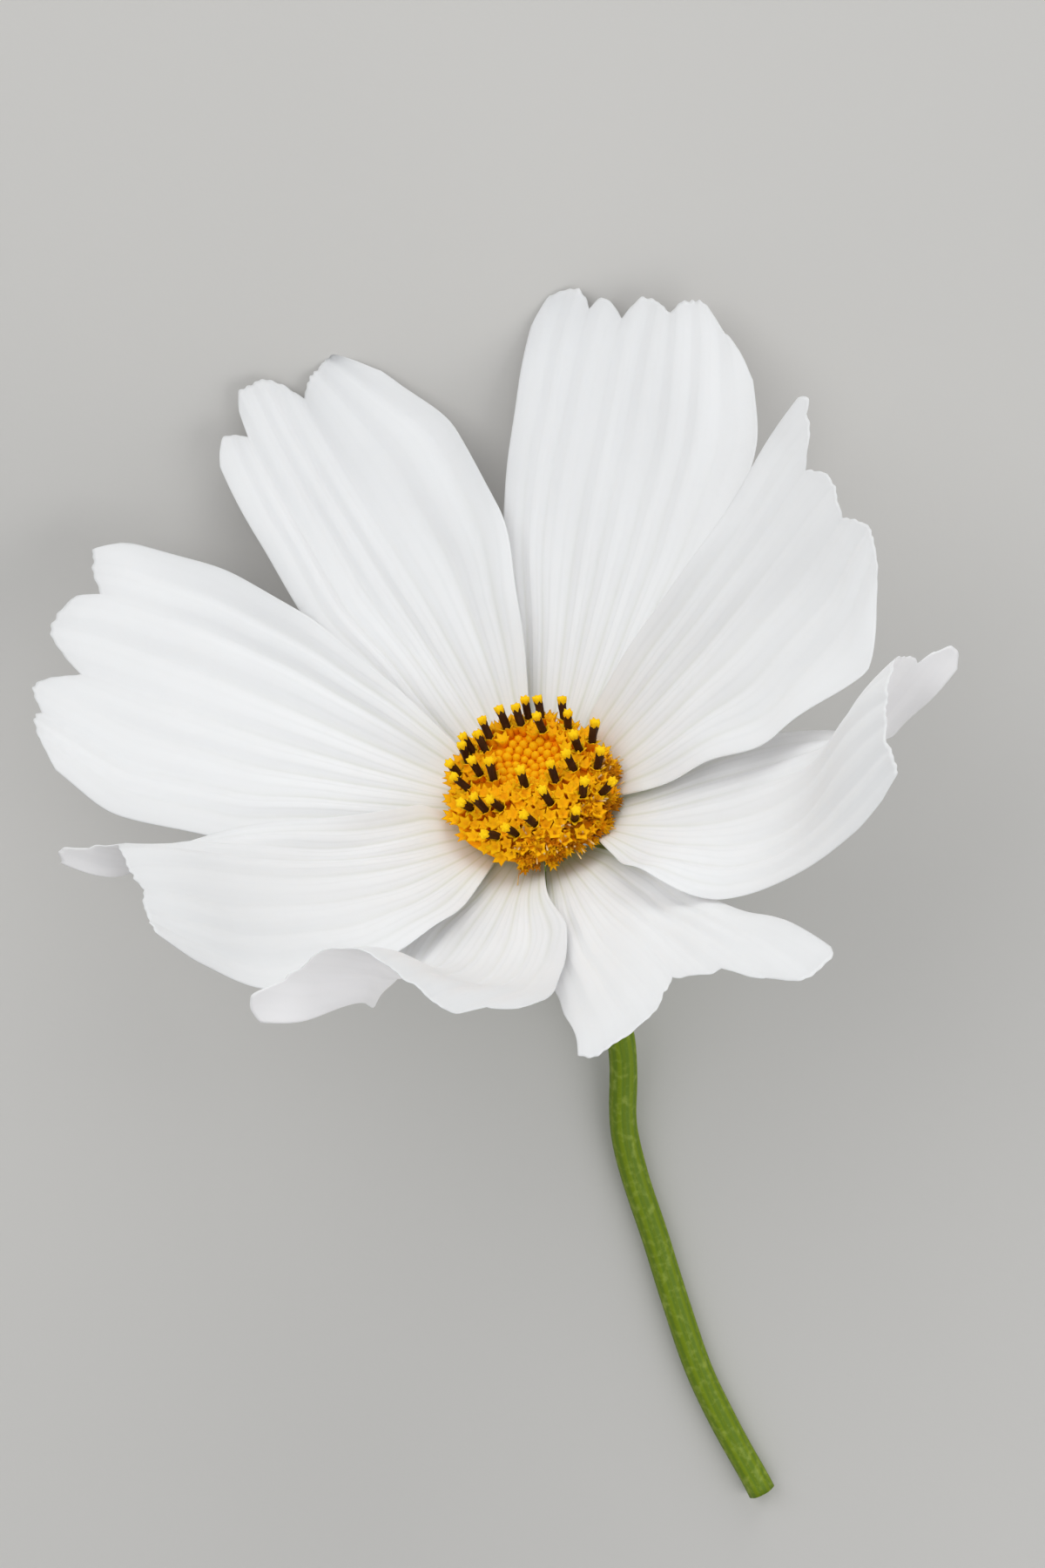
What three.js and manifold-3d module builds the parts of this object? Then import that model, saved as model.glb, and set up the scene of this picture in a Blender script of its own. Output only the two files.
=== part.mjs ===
// A cut cosmos flower lying on its side on a flat surface, as a picked bloom does.
// Millimetres, +Z up. The bloom rests on the tips of two petals, and the bent stem lies behind it.
// Every petal, bract and open floret is one closed solid of its own.
import * as THREE from 'three';
import { mergeVertices } from 'three/addons/utils/BufferGeometryUtils.js';
import Module from 'manifold-3d';

const wasm = await Module();
wasm.setup();

const deg = THREE.MathUtils.degToRad;

// ---- driving dimensions -------------------------------------------------------------------

const GAP = 0.3;                 // clearance left between pieces that touch on the real flower
const RECEPTACLE_R = 4.5;        // green cup that carries petals, bracts and florets
const RECEPTACLE_TOP = 1.4;      // heights are measured along the bloom's axis from the petal ring
const RECEPTACLE_FOOT = -3.2;
const NECK_Z = -6.4;             // where the cup has narrowed to the stem
const STEM_R = 1.15;
const PETAL_RING_R = RECEPTACLE_R + GAP;
const PETAL_THICKNESS = 0.4;
const PETAL_LENGTH = 38;

// The bloom's axis leans away from the vertical, and the whole bloom sits at this place.
const HEAD_LEAN = 44;            // degrees from +Z
const HEAD_HEADING = -13;        // degrees from +Y, clockwise seen from above
const HEAD_POSITION = new THREE.Vector3(4.5, 10.5, 16.5);

// ---- small mathematics --------------------------------------------------------------------

// A smooth curve through given values that never overshoots them (a monotone cubic).
function smoothCurve(xs, ys) {
  const n = xs.length;
  const step = xs.slice(1).map((x, i) => x - xs[i]);
  const slope = step.map((h, i) => (ys[i + 1] - ys[i]) / h);
  const tangent = new Array(n).fill(0);
  for (let i = 1; i < n - 1; i++) {
    if (slope[i - 1] * slope[i] > 0) {
      const a = 2 * step[i] + step[i - 1];
      const b = step[i] + 2 * step[i - 1];
      tangent[i] = (a + b) / (a / slope[i - 1] + b / slope[i]);
    }
  }
  tangent[0] = slope[0];
  tangent[n - 1] = slope[n - 2];
  return (x) => {
    const clamped = Math.min(Math.max(x, xs[0]), xs[n - 1]);
    let i = 0;
    while (i < n - 2 && clamped > xs[i + 1]) i++;
    const t = (clamped - xs[i]) / step[i];
    const u = 1 - t;
    return ys[i] * u * u * (1 + 2 * t) + ys[i + 1] * t * t * (3 - 2 * t)
      + step[i] * (tangent[i] * t * u * u - tangent[i + 1] * t * t * u);
  };
}

// ---- meshes -------------------------------------------------------------------------------

function makeGeometry(positions, triangles) {
  const geometry = new THREE.BufferGeometry();
  geometry.setAttribute('position', new THREE.Float32BufferAttribute(positions, 3));
  geometry.setIndex(triangles);
  geometry.computeVertexNormals();
  return geometry;
}

// A closed sheet: pointAt(row, column) is its middle surface, thickened along the normals.
function thickSheet(rows, columns, thickness, pointAt) {
  const grid = [];
  for (let i = 0; i < rows; i++) {
    for (let j = 0; j < columns; j++) grid.push(pointAt(i, j));
  }
  const at = (i, j) => grid[i * columns + j];
  const positions = [];
  for (const side of [1, -1]) {
    for (let i = 0; i < rows; i++) {
      for (let j = 0; j < columns; j++) {
        const along = at(Math.min(i + 1, rows - 1), j).clone().sub(at(Math.max(i - 1, 0), j));
        const across = at(i, Math.min(j + 1, columns - 1)).clone().sub(at(i, Math.max(j - 1, 0)));
        const normal = across.cross(along).normalize();
        const p = at(i, j).clone().addScaledVector(normal, side * thickness / 2);
        positions.push(p.x, p.y, p.z);
      }
    }
  }
  const count = rows * columns;
  const triangles = [];
  const quad = (a, b, c, d) => triangles.push(a, b, c, a, c, d);
  for (let i = 0; i < rows - 1; i++) {
    for (let j = 0; j < columns - 1; j++) {
      const a = i * columns + j;
      quad(a, a + 1, a + 1 + columns, a + columns);
      quad(count + a, count + a + columns, count + a + 1 + columns, count + a + 1);
    }
  }
  const rim = [];
  for (let j = 0; j < columns; j++) rim.push(j);
  for (let i = 1; i < rows; i++) rim.push(i * columns + columns - 1);
  for (let j = columns - 2; j >= 0; j--) rim.push((rows - 1) * columns + j);
  for (let i = rows - 2; i > 0; i--) rim.push(i * columns);
  rim.forEach((a, k) => {
    const b = rim[(k + 1) % rim.length];
    quad(a, a + count, b + count, b);
  });
  return makeGeometry(positions, triangles);
}

function asManifold(geometry, matrix) {
  const bare = geometry.clone().applyMatrix4(matrix);
  bare.deleteAttribute('normal');
  bare.deleteAttribute('uv');
  const merged = mergeVertices(bare, 1e-4);
  return new wasm.Manifold(new wasm.Mesh({
    numProp: 3,
    vertProperties: new Float32Array(merged.attributes.position.array),
    triVerts: new Uint32Array(merged.index.array),
  }));
}

function fromManifold(solid) {
  const { vertProperties, triVerts } = solid.getMesh();
  return makeGeometry(Array.from(vertProperties), Array.from(triVerts));
}

// ---- the bloom's own frame ----------------------------------------------------------------

const axisTurn = new THREE.Matrix4().makeRotationZ(-deg(HEAD_HEADING));
const axisLean = new THREE.Matrix4().makeRotationX(-deg(HEAD_LEAN));
const headMatrix = new THREE.Matrix4()
  .makeTranslation(HEAD_POSITION.x, HEAD_POSITION.y, HEAD_POSITION.z)
  .multiply(axisTurn)
  .multiply(axisLean);

// Azimuth 0 is the lowest side of the bloom, and azimuths run clockwise seen from the front.
function turned(point, azimuth) {
  return point.applyAxisAngle(new THREE.Vector3(0, 0, 1), -deg(azimuth));
}

// ---- petals -------------------------------------------------------------------------------

// Stations along a petal, as parts of its length, at which widths and bends are given.
const WIDTH_STATIONS = [0, 0.12, 0.3, 0.5, 0.7, 0.86, 1];
const RISE_STATIONS = [0, 0.25, 0.5, 0.75, 1];
// Half widths at the first two stations: a usual base, one beside a gap, a broad one, and one that
// starts narrow.
const BASES = [[2, 4.3], [1.6, 3.2], [1.9, 5.3], [0.4, 3.7]];
const BASE_BENDS = [12, 18];

// Where neighbours overlap, one margin is raised and the other lowered by this much.
const LAP_LIFT = 0.85;
const LAP_FULL_FROM = 0.12;      // parts of the length between which the lift is full
const LAP_FULL_TO = 0.42;
const LAP_END = 0.8;

// Local axes: +Y runs outward, +X is the clockwise side, +Z is the bloom's axis.
// rise: elevation of the midrib; left, right: half widths; bendLeft, bendRight: how far each half
// rolls up (or down, below zero) towards its margin; roll: turn of the tip about the midrib;
// lap: whether the left and the right margin lie over (1) or under (-1) the neighbour's;
// base: which of the bases the left and the right half have, a usual one where none is given;
// tip: length reached at each place across, from the left margin (-1) to the right one (1).
const PETALS = [
  { azimuth: -65, lap: [-1, 1], lift: 0.5,
    rise: [15, 18, 20, 20, 18],
    left: [8, 11.7, 12.2, 9.8, 7], right: [7.4, 10.2, 12, 12.4, 10.6],
    bendLeft: [28, 25, 15, 5, 0], bendRight: [35, 25, 15, 5, 0],
    tip: [[-1, 0.86], [-0.66, 0.94], [-0.58, 0.93], [-0.38, 0.965], [-0.04, 0.88], [0.26, 0.975],
      [0.54, 0.95], [0.58, 0.9], [0.87, 0.94], [0.96, 0.95], [1, 0.9]] },
  { azimuth: -19, lap: [-1, 1], lift: 0,
    rise: [20, 22, 23, 23, 23],
    left: [6.4, 8.4, 8.6, 8.2, 7.4], right: [7.6, 9.9, 10.1, 8.1, 5.4],
    bendLeft: [30, 20, 15, 5, 0], bendRight: [30, 20, 15, 5, 0],
    tip: [[-1, 0.88], [-0.84, 0.935], [-0.61, 0.91], [-0.58, 0.975], [-0.48, 1.01], [-0.24, 1.01],
      [0.11, 0.93], [0.47, 0.97], [0.8, 0.985], [1, 0.9]] },
  { azimuth: 27, lap: [-1, -1], lift: -0.6, length: 40,
    rise: [19, 24, 25, 25, 24],
    left: [6.6, 9, 9.6, 9.9, 9.1], right: [7.2, 9.8, 11.2, 9.2, 6.2],
    bendLeft: [30, 20, 15, 5, 0], bendRight: [30, 20, 15, 5, 0],
    tip: [[-1, 0.88], [-0.92, 0.95], [-0.72, 0.97], [-0.56, 0.935], [-0.47, 0.96], [-0.26, 0.925],
      [-0.1, 0.975], [0.2, 0.95], [0.39, 0.98], [0.57, 0.985], [0.8, 0.925], [1, 0.84]] },
  { azimuth: 75, lap: [1, 1], base: [0, 2], lift: 0.4, length: 37, roll: -10,
    rise: [28, 38, 42, 42, 38],
    left: [5.4, 6.1, 7.4, 8.8, 9], right: [9, 12.8, 12.7, 8.6, 6],
    bendLeft: [35, 30, 15, 0, 0], bendRight: [35, 30, 20, 10, 0],
    tip: [[-1, 0.94], [-0.92, 0.96], [-0.84, 0.93], [-0.5, 0.85], [-0.28, 0.885], [0.1, 0.855],
      [0.42, 0.89], [0.68, 0.865], [1, 0.72]] },
  { azimuth: 124, lap: [-1, 1], base: [0, 3], lift: 0.2, length: 42, roll: -13, sweep: -11,
    rise: [28, 34, 44, 67, 47],
    left: [7.1, 7.8, 7.5, 8.9, 11.2], right: [8.2, 9.9, 9.8, 9, 6.7],
    bendLeft: [8, -29, -105, -122, -106], bendRight: [50, 14, 0, -11, -17],
    tip: [[-1, 0.95], [-0.87, 0.987], [-0.77, 0.966], [-0.71, 0.93], [-0.57, 0.95], [-0.1, 0.997],
      [0.1, 0.995], [0.53, 0.987], [0.75, 1], [0.91, 1], [1, 0.95]] },
  { azimuth: 164, lap: [-1, -1], base: [0, 1], lift: -0.8,
    rise: [28, 36, 38, 34, 24],
    left: [5.4, 6.3, 7.8, 9.5, 10.9], right: [5.4, 7.2, 8.1, 8.7, 10.6],
    bendLeft: [35, 16, 8, 4, 0], bendRight: [0, -8, -5, 0, -10],
    tip: [[-1, 0.985], [-0.92, 1.015], [-0.7, 1.03], [-0.52, 0.965], [-0.34, 0.87], [0, 0.8],
      [0.15, 0.85], [0.45, 0.92], [0.83, 0.94], [1, 0.915]] },
  { azimuth: 202, lap: [1, -1], base: [1, 0], lift: -0.1, length: 41, roll: 19, sweep: 5,
    rise: [18, 30, 53, 68, 46],
    left: [7, 8.6, 9.8, 9.4, 8.6], right: [6.6, 6, 6, 10.1, 14],
    bendLeft: [36, 25, 16, -2, -10], bendRight: [25, -51, -104, -120, -101],
    tip: [[-1, 0.71], [-0.96, 0.81], [-0.85, 0.87], [-0.8, 0.975], [-0.68, 0.998], [-0.46, 0.995],
      [0, 0.96], [0.35, 0.945], [0.61, 0.93], [0.71, 0.942], [0.86, 0.985], [1, 0.95]] },
  { azimuth: 246, lap: [1, 1], base: [2, 0], lift: 0.4, length: 40, roll: 16,
    rise: [21, 36, 47, 51, 31],
    left: [9.6, 11.5, 11.7, 8.9, 5.2], right: [4.2, 4.7, 5.5, 6.8, 9.6],
    bendLeft: [33, 17, -1, -9, 12], bendRight: [28, -9, -78, -136, -99],
    tip: [[-1, 0.94], [-0.98, 0.959], [-0.55, 0.947], [-0.33, 0.93], [-0.19, 0.943], [0.14, 0.94],
      [0.42, 0.885], [0.72, 0.93], [0.86, 0.972], [1, 0.965]] },
];

// The midrib is stepped along its length; at each step it carries a side and an up direction.
function midrib(petal) {
  const length = petal.length ?? PETAL_LENGTH;
  const rise = smoothCurve(RISE_STATIONS, petal.rise);
  const steps = 110;
  const point = new THREE.Vector3(0, PETAL_RING_R, petal.lift);
  const path = [];
  for (let k = 0; k <= steps; k++) {
    const t = 1.1 * k / steps;
    const elevation = deg(rise(t));
    const yaw = deg((petal.sweep ?? 0) * t ** 1.5);
    const forward = new THREE.Vector3(
      Math.cos(elevation) * Math.sin(yaw), Math.cos(elevation) * Math.cos(yaw), Math.sin(elevation));
    if (k > 0) point.addScaledVector(forward, length * 1.1 / steps);
    const side = new THREE.Vector3(Math.cos(yaw), -Math.sin(yaw), 0);
    const up = side.clone().cross(forward);
    const roll = deg((petal.roll ?? 0) * Math.min(t, 1));
    path.push({
      point: point.clone(),
      side: side.clone().multiplyScalar(Math.cos(roll)).addScaledVector(up, Math.sin(roll)),
      up: up.clone().multiplyScalar(Math.cos(roll)).addScaledVector(side, -Math.sin(roll)),
    });
  }
  return (t) => path[Math.round(Math.min(Math.max(t, 0), 1.1) / 1.1 * steps)];
}

function tipLength(petal, v) {
  const { tip } = petal;
  let i = 0;
  while (i < tip.length - 2 && v > tip[i + 1][0]) i++;
  const q = (v - tip[i][0]) / (tip[i + 1][0] - tip[i][0]);
  const rising = tip[i + 1][1] > tip[i][1];
  const eased = rising ? Math.sin(q * Math.PI / 2) : 1 - Math.cos(q * Math.PI / 2);
  return tip[i][1] + (tip[i + 1][1] - tip[i][1]) * eased;
}

// Full between two places on the length, easing to nothing at the base and further out.
function lapWindow(t) {
  const inner = THREE.MathUtils.smoothstep(t, 0, LAP_FULL_FROM);
  return inner * (1 - THREE.MathUtils.smoothstep(t, LAP_FULL_TO, LAP_END));
}

function petalGeometry(petal) {
  const spine = midrib(petal);
  const base = (side) => BASES[(petal.base ?? [0, 0])[side]];
  const sides = [
    { width: smoothCurve(WIDTH_STATIONS, [...base(0), ...petal.left]),
      bend: smoothCurve(WIDTH_STATIONS, [...BASE_BENDS, ...petal.bendLeft]) },
    { width: smoothCurve(WIDTH_STATIONS, [...base(1), ...petal.right]),
      bend: smoothCurve(WIDTH_STATIONS, [...BASE_BENDS, ...petal.bendRight]) },
  ];
  const rows = 12;
  const extra = [-0.8, -0.4, 0, 0.4, 0.8];
  const columns = [...new Set([...petal.tip.map((p) => p[0]), ...extra])].sort((a, b) => a - b)
    .filter((v, i, all) => i === 0 || v - all[i - 1] > 0.03 || v === 1);
  return thickSheet(rows, columns.length, PETAL_THICKNESS, (i, j) => {
    const v = columns[j];
    const u = i / (rows - 1);
    const t = u - (1 - tipLength(petal, v)) * u ** 3;
    const { point, side, up } = spine(t);
    const half = sides[v < 0 ? 0 : 1];
    const width = half.width(t);
    const bend = deg(half.bend(t)) || 1e-3;
    const turn = bend * Math.abs(v);
    const lap = LAP_LIFT * petal.lap[v < 0 ? 0 : 1] * v * v * lapWindow(t);
    const place = point.clone()
      .addScaledVector(side, Math.sign(v) * width * Math.sin(turn) / bend)
      .addScaledVector(up, width * (1 - Math.cos(turn)) / bend + lap);
    return turned(place, petal.azimuth);
  });
}

// ---- bracts behind the petals -------------------------------------------------------------

const BRACT_COUNT = 8;
const INNER_BRACT = { length: 10, halfWidth: 2.6, base: -1.9, thickness: 0.35, rise: 22, bend: 30 };
const OUTER_BRACT = { length: 9, halfWidth: 1.1, base: -3.0, thickness: 0.5, rise: -4, bend: 25 };

// A pointed leaf-shaped sheet whose halves roll up, widest a third of the way along.
function bractGeometry(shape, azimuth) {
  const rows = 7;
  const columns = 5;
  return thickSheet(rows, columns, shape.thickness, (i, j) => {
    const t = i / (rows - 1);
    const v = j / (columns - 1) * 2 - 1;
    const width = shape.halfWidth * (0.6 + 1.25 * t - 1.75 * t * t);
    const turn = deg(shape.bend) * v;
    const elevation = deg(shape.rise);
    const out = PETAL_RING_R + shape.length * t * Math.cos(elevation);
    const height = shape.base + shape.length * t * Math.sin(elevation) + width * (1 - Math.cos(turn));
    return turned(new THREE.Vector3(width * Math.sin(turn) / deg(shape.bend), out, height), azimuth);
  });
}

// ---- receptacle, stem and disc ------------------------------------------------------------

function latheAboutAxis(profile, segments) {
  const geometry = new THREE.LatheGeometry(profile.map(([r, z]) => new THREE.Vector2(r, z)), segments);
  return geometry.rotateX(Math.PI / 2);
}

function receptacleGeometry() {
  return latheAboutAxis([
    [0, NECK_Z], [STEM_R, NECK_Z], [STEM_R + 0.5, NECK_Z + 1.2], [3.2, RECEPTACLE_FOOT - 0.7],
    [RECEPTACLE_R, RECEPTACLE_FOOT + 0.6], [RECEPTACLE_R, RECEPTACLE_TOP], [0, RECEPTACLE_TOP],
  ], 24);
}

// Closed buds in the middle and spent florets at the rim, as one domed mass.
const DISC_TOP = 4.4;
const DISC_RIM_R = 6.6;

function domeHeight(r) {
  return DISC_TOP - 1.5 * (r / DISC_RIM_R) ** 3;
}

function discGeometry() {
  const foot = RECEPTACLE_TOP + GAP;
  const profile = [[0, foot], [4.3, foot], [DISC_RIM_R - 0.6, foot + 0.5], [DISC_RIM_R, foot + 0.9]];
  for (const r of [DISC_RIM_R - 0.1, 5.4, 4.2, 3, 1.8, 0.8, 0]) profile.push([r, domeHeight(r)]);
  return latheAboutAxis(profile, 28);
}

// Open florets: distance from the axis and azimuth of each foot, then the floret's lean from the
// axis and the azimuth that it leans towards.
const FLORETS = [
  [1.1, -161, 18, -5], [2.7, -87, 31, -1], [2.6, 123, 34, -9], [3.4, -135, 24, -87],
  [3.4, 155, 14, -56], [3.8, -72, 16, -44], [3.8, 96, 18, -33], [4.2, -42, 38, -19],
  [4.3, -123, 33, -47], [4.4, -179, 21, -90], [4.5, 26, 18, -26], [4.6, -88, 40, -57],
  [4.7, 71, 11, -23], [4.7, 125, 14, 79], [5, -161, 25, -109], [5, -105, 24, -124],
  [5, -27, 38, -17], [5.1, -9, 40, -14], [5, 4, 40, -8], [5.2, -57, 28, -17],
  [5.2, -46, 33, -36], [5.3, -145, 40, -113], [5.3, 147, 16, 142], [5.4, 94, 25, 50],
  [5.6, 43, 14, 43], [5.8, -67, 15, -81], [5.8, 67, 32, 42], [5.8, 116, 36, 96],
  [5.9, 19, 36, 4], [6, 9, 27, 4], [6.2, 36, 40, 10],
];
const FLORET_HEIGHT = 2.5;

function floretGeometry() {
  return latheAboutAxis([
    [0, 0], [0.3, 0], [0.36, 0.7], [0.32, 1.7], [0.42, FLORET_HEIGHT - 0.3], [0.2, FLORET_HEIGHT],
    [0, FLORET_HEIGHT],
  ], 7);
}

function floretMatrix([r, azimuth, lean, towards]) {
  const foot = turned(new THREE.Vector3(0, r, domeHeight(r) + GAP + 0.1), azimuth);
  const tilt = new THREE.Matrix4().makeRotationZ(-deg(towards))
    .multiply(new THREE.Matrix4().makeRotationX(-deg(lean)));
  return new THREE.Matrix4().makeTranslation(foot.x, foot.y, foot.z).multiply(tilt);
}

// The stem leaves the cup along the bloom's axis, bends down and lies on the surface.
const STEM_ROUTE = [[10, -5.5], [11.6, -12], [11.9, -20], [14.7, -29.5], [18.5, -41], [23.6, -51]];
const STEM_HEIGHTS = [6.2, 3, 1.4, 1, 1, 1];   // its middle's height over the surface
const STEM_START = 3;            // straight length under the cup

function stemGeometry() {
  const exit = new THREE.Vector3(0, 0, NECK_Z - GAP).applyMatrix4(headMatrix);
  const next = new THREE.Vector3(0, 0, NECK_Z - GAP - STEM_START).applyMatrix4(headMatrix);
  const lying = STEM_ROUTE.map(([x, y], i) => new THREE.Vector3(x, y, STEM_HEIGHTS[i]));
  const route = new THREE.CatmullRomCurve3([exit, next, ...lying], false, 'centripetal');
  const section = new THREE.Shape();
  section.absarc(0, 0, STEM_R, 0, 2 * Math.PI);
  return new THREE.ExtrudeGeometry(section, {
    steps: 36, curveSegments: 10, extrudePath: route, bevelEnabled: false,
  });
}

// ---- materials ----------------------------------------------------------------------------

const material = (color, roughness) => new THREE.MeshStandardMaterial({
  color, roughness, metalness: 0, side: THREE.DoubleSide,
});
const petalWhite = material('#f0f1f2', 0.55);
const stemGreen = material('#7d9a24', 0.6);
const cupGreen = material('#8f9f4c', 0.6);
const innerBractGreen = material('#a9ab62', 0.6);
const outerBractGreen = material('#5f7f2e', 0.6);
const discYellow = material('#eda309', 0.7);
const floretBrown = material('#4a2a12', 0.6);

// ---- assembly -----------------------------------------------------------------------------

const flower = new THREE.Group();

// A piece is placed in the surface's frame; what would reach below the surface is cut off flat.
function place(name, geometry, pieceMaterial, matrix, touchesSurface) {
  let placed = geometry.clone().applyMatrix4(matrix);
  if (touchesSurface) {
    const slab = new THREE.BoxGeometry(400, 400, 40).translate(0, 0, -20);
    const still = new THREE.Matrix4();
    placed = fromManifold(asManifold(placed, still).subtract(asManifold(slab, still)));
  }
  const mesh = new THREE.Mesh(placed, pieceMaterial);
  mesh.name = name;
  flower.add(mesh);
}

place('stem', stemGeometry(), stemGreen, new THREE.Matrix4(), true);
place('receptacle', receptacleGeometry(), cupGreen, headMatrix, false);
PETALS.forEach((petal, i) => {
  const low = i === 1 || i === 2;
  place(`petal_${i + 1}`, petalGeometry(petal), petalWhite, headMatrix, low);
});
for (let i = 0; i < BRACT_COUNT; i++) {
  const azimuth = 5 + i * 360 / BRACT_COUNT;
  const inner = bractGeometry(INNER_BRACT, azimuth);
  const outer = bractGeometry(OUTER_BRACT, azimuth + 22);
  place(`inner_bract_${i + 1}`, inner, innerBractGreen, headMatrix, false);
  place(`outer_bract_${i + 1}`, outer, outerBractGreen, headMatrix, false);
}
place('disc', discGeometry(), discYellow, headMatrix, false);
FLORETS.forEach((floret, i) => {
  place(`floret_${String(i + 1).padStart(2, '0')}`, floretGeometry(), floretBrown,
    headMatrix.clone().multiply(floretMatrix(floret)), false);
});

export default flower;
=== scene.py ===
"""A cut white cosmos flower, laid on a pale floor and seen from above.

Lengths in this file are millimetres, and become metres when a mesh is made. Petals, bracts and
florets are worked out in the bloom's own frame and then leaned and set in place with the bloom.
"""

import bpy
import numpy as np
from mathutils import Matrix, Vector


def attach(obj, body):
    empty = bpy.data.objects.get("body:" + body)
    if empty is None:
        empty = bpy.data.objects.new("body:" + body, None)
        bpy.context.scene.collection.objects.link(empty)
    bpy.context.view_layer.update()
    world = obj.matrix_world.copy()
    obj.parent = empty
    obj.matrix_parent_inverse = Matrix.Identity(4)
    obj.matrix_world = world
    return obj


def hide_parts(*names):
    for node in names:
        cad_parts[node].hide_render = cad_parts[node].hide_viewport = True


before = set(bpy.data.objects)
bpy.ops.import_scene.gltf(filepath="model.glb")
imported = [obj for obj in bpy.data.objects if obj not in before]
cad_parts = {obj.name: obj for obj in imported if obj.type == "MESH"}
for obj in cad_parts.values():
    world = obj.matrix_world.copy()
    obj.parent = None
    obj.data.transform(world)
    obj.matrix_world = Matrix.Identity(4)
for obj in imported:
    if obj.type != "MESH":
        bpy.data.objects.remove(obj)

bl_info = {
    "name": "Cosmos Flower",
    "version": (1, 0, 0),
    "blender": (4, 5, 0),
    "location": "3D View > Sidebar > Cosmos",
    "description": "Makes a cut cosmos flower with petals, disc, bracts and stem",
    "category": "Add Mesh",
}

BODY = "root"
MM = 0.001

# The bloom's own frame, as the CAD has it.
HEAD_LEAN = 44.0
HEAD_TURN = 13.0
HEAD_POSITION = np.array([4.5, 10.5, 16.5])

RECEPTACLE_TOP = 1.4
NECK_Z = -6.4
PETAL_RING_R = 4.8
PETAL_LENGTH = 38.0

DISC_TOP = 4.4
DISC_RIM_R = 6.6

FLOOR_SOFTNESS = 0.06


# ---- small mathematics --------------------------------------------------------------------


def smooth_curve(stations, values):
    """A curve through given values that never overshoots them: a cubic on each span, whose slope
    at an inner station is the weighted harmonic mean of the slopes beside it, or 0 at a turn."""
    xs = np.asarray(stations, float)
    ys = np.asarray(values, float)
    step = np.diff(xs)
    slope = np.diff(ys) / step
    tangent = np.zeros(len(xs))
    tangent[0] = slope[0]
    tangent[-1] = slope[-1]
    before, after = slope[:-1], slope[1:]
    first = 2 * step[1:] + step[:-1]
    second = step[1:] + 2 * step[:-1]
    same = before * after > 0
    safe_before = np.where(same, before, 1)
    safe_after = np.where(same, after, 1)
    mean = (first + second) / (first / safe_before + second / safe_after)
    tangent[1:-1] = np.where(same, mean, 0)

    def at(x):
        x = np.clip(x, xs[0], xs[-1])
        i = np.clip(np.searchsorted(xs, x, side="left") - 1, 0, len(xs) - 2)
        t = (x - xs[i]) / step[i]
        u = 1 - t
        ends = ys[i] * u * u * (1 + 2 * t) + ys[i + 1] * t * t * (3 - 2 * t)
        return ends + step[i] * (tangent[i] * t * u * u - tangent[i + 1] * t * t * u)

    return at


def smoothstep(x, low, high):
    """0 below low, 1 above high, and an S-shaped cubic between them."""
    t = np.clip((x - low) / (high - low), 0, 1)
    return t * t * (3 - 2 * t)


def ripple(a, b, reach_a, reach_b, seed, waves=6):
    """A sum of sine waves in two directions with seeded lengths and phases, mostly from -1 to 1."""
    draws = np.random.default_rng(seed)
    total = np.zeros(np.broadcast(a, b).shape)
    for size in range(1, waves + 1):
        pace_a, pace_b, phase = draws.uniform(0.5, 1.5, 3)
        turn = 2 * np.pi * (a * reach_a * pace_a + b * reach_b * pace_b * (-1) ** size + phase)
        total = total + np.sin(turn) / np.sqrt(waves)
    return total


def stacked(*parts):
    """Arrays brought to one shape and stacked as coordinates."""
    return np.stack(np.broadcast_arrays(*parts), -1)


def turned(points, azimuth):
    """Points turned about the bloom's axis. Azimuth 0 is the lowest side, and azimuths run
    clockwise seen from the front."""
    turn = np.radians(azimuth)
    x, y, z = np.moveaxis(points, -1, 0)
    across = x * np.cos(turn) + y * np.sin(turn)
    along = y * np.cos(turn) - x * np.sin(turn)
    return stacked(across, along, z)


def head_to_world(points):
    """Points leaned with the bloom about X, turned about Z and moved to the bloom's place."""
    lean = np.radians(HEAD_LEAN)
    turn = np.radians(HEAD_TURN)
    x, y, z = np.moveaxis(points, -1, 0)
    down = y * np.cos(lean) + z * np.sin(lean)
    height = z * np.cos(lean) - y * np.sin(lean)
    across = x * np.cos(turn) - down * np.sin(turn)
    along = x * np.sin(turn) + down * np.cos(turn)
    return stacked(across, along, height) + HEAD_POSITION


def above_floor(points):
    """Heights pressed up to the floor where they would sink into it: softness times the logarithm
    of 1 plus the exponential of height over softness."""
    lifted = points.copy()
    lifted[..., 2] = FLOOR_SOFTNESS * np.logaddexp(0, points[..., 2] / FLOOR_SOFTNESS)
    return lifted


# ---- meshes -------------------------------------------------------------------------------


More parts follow.
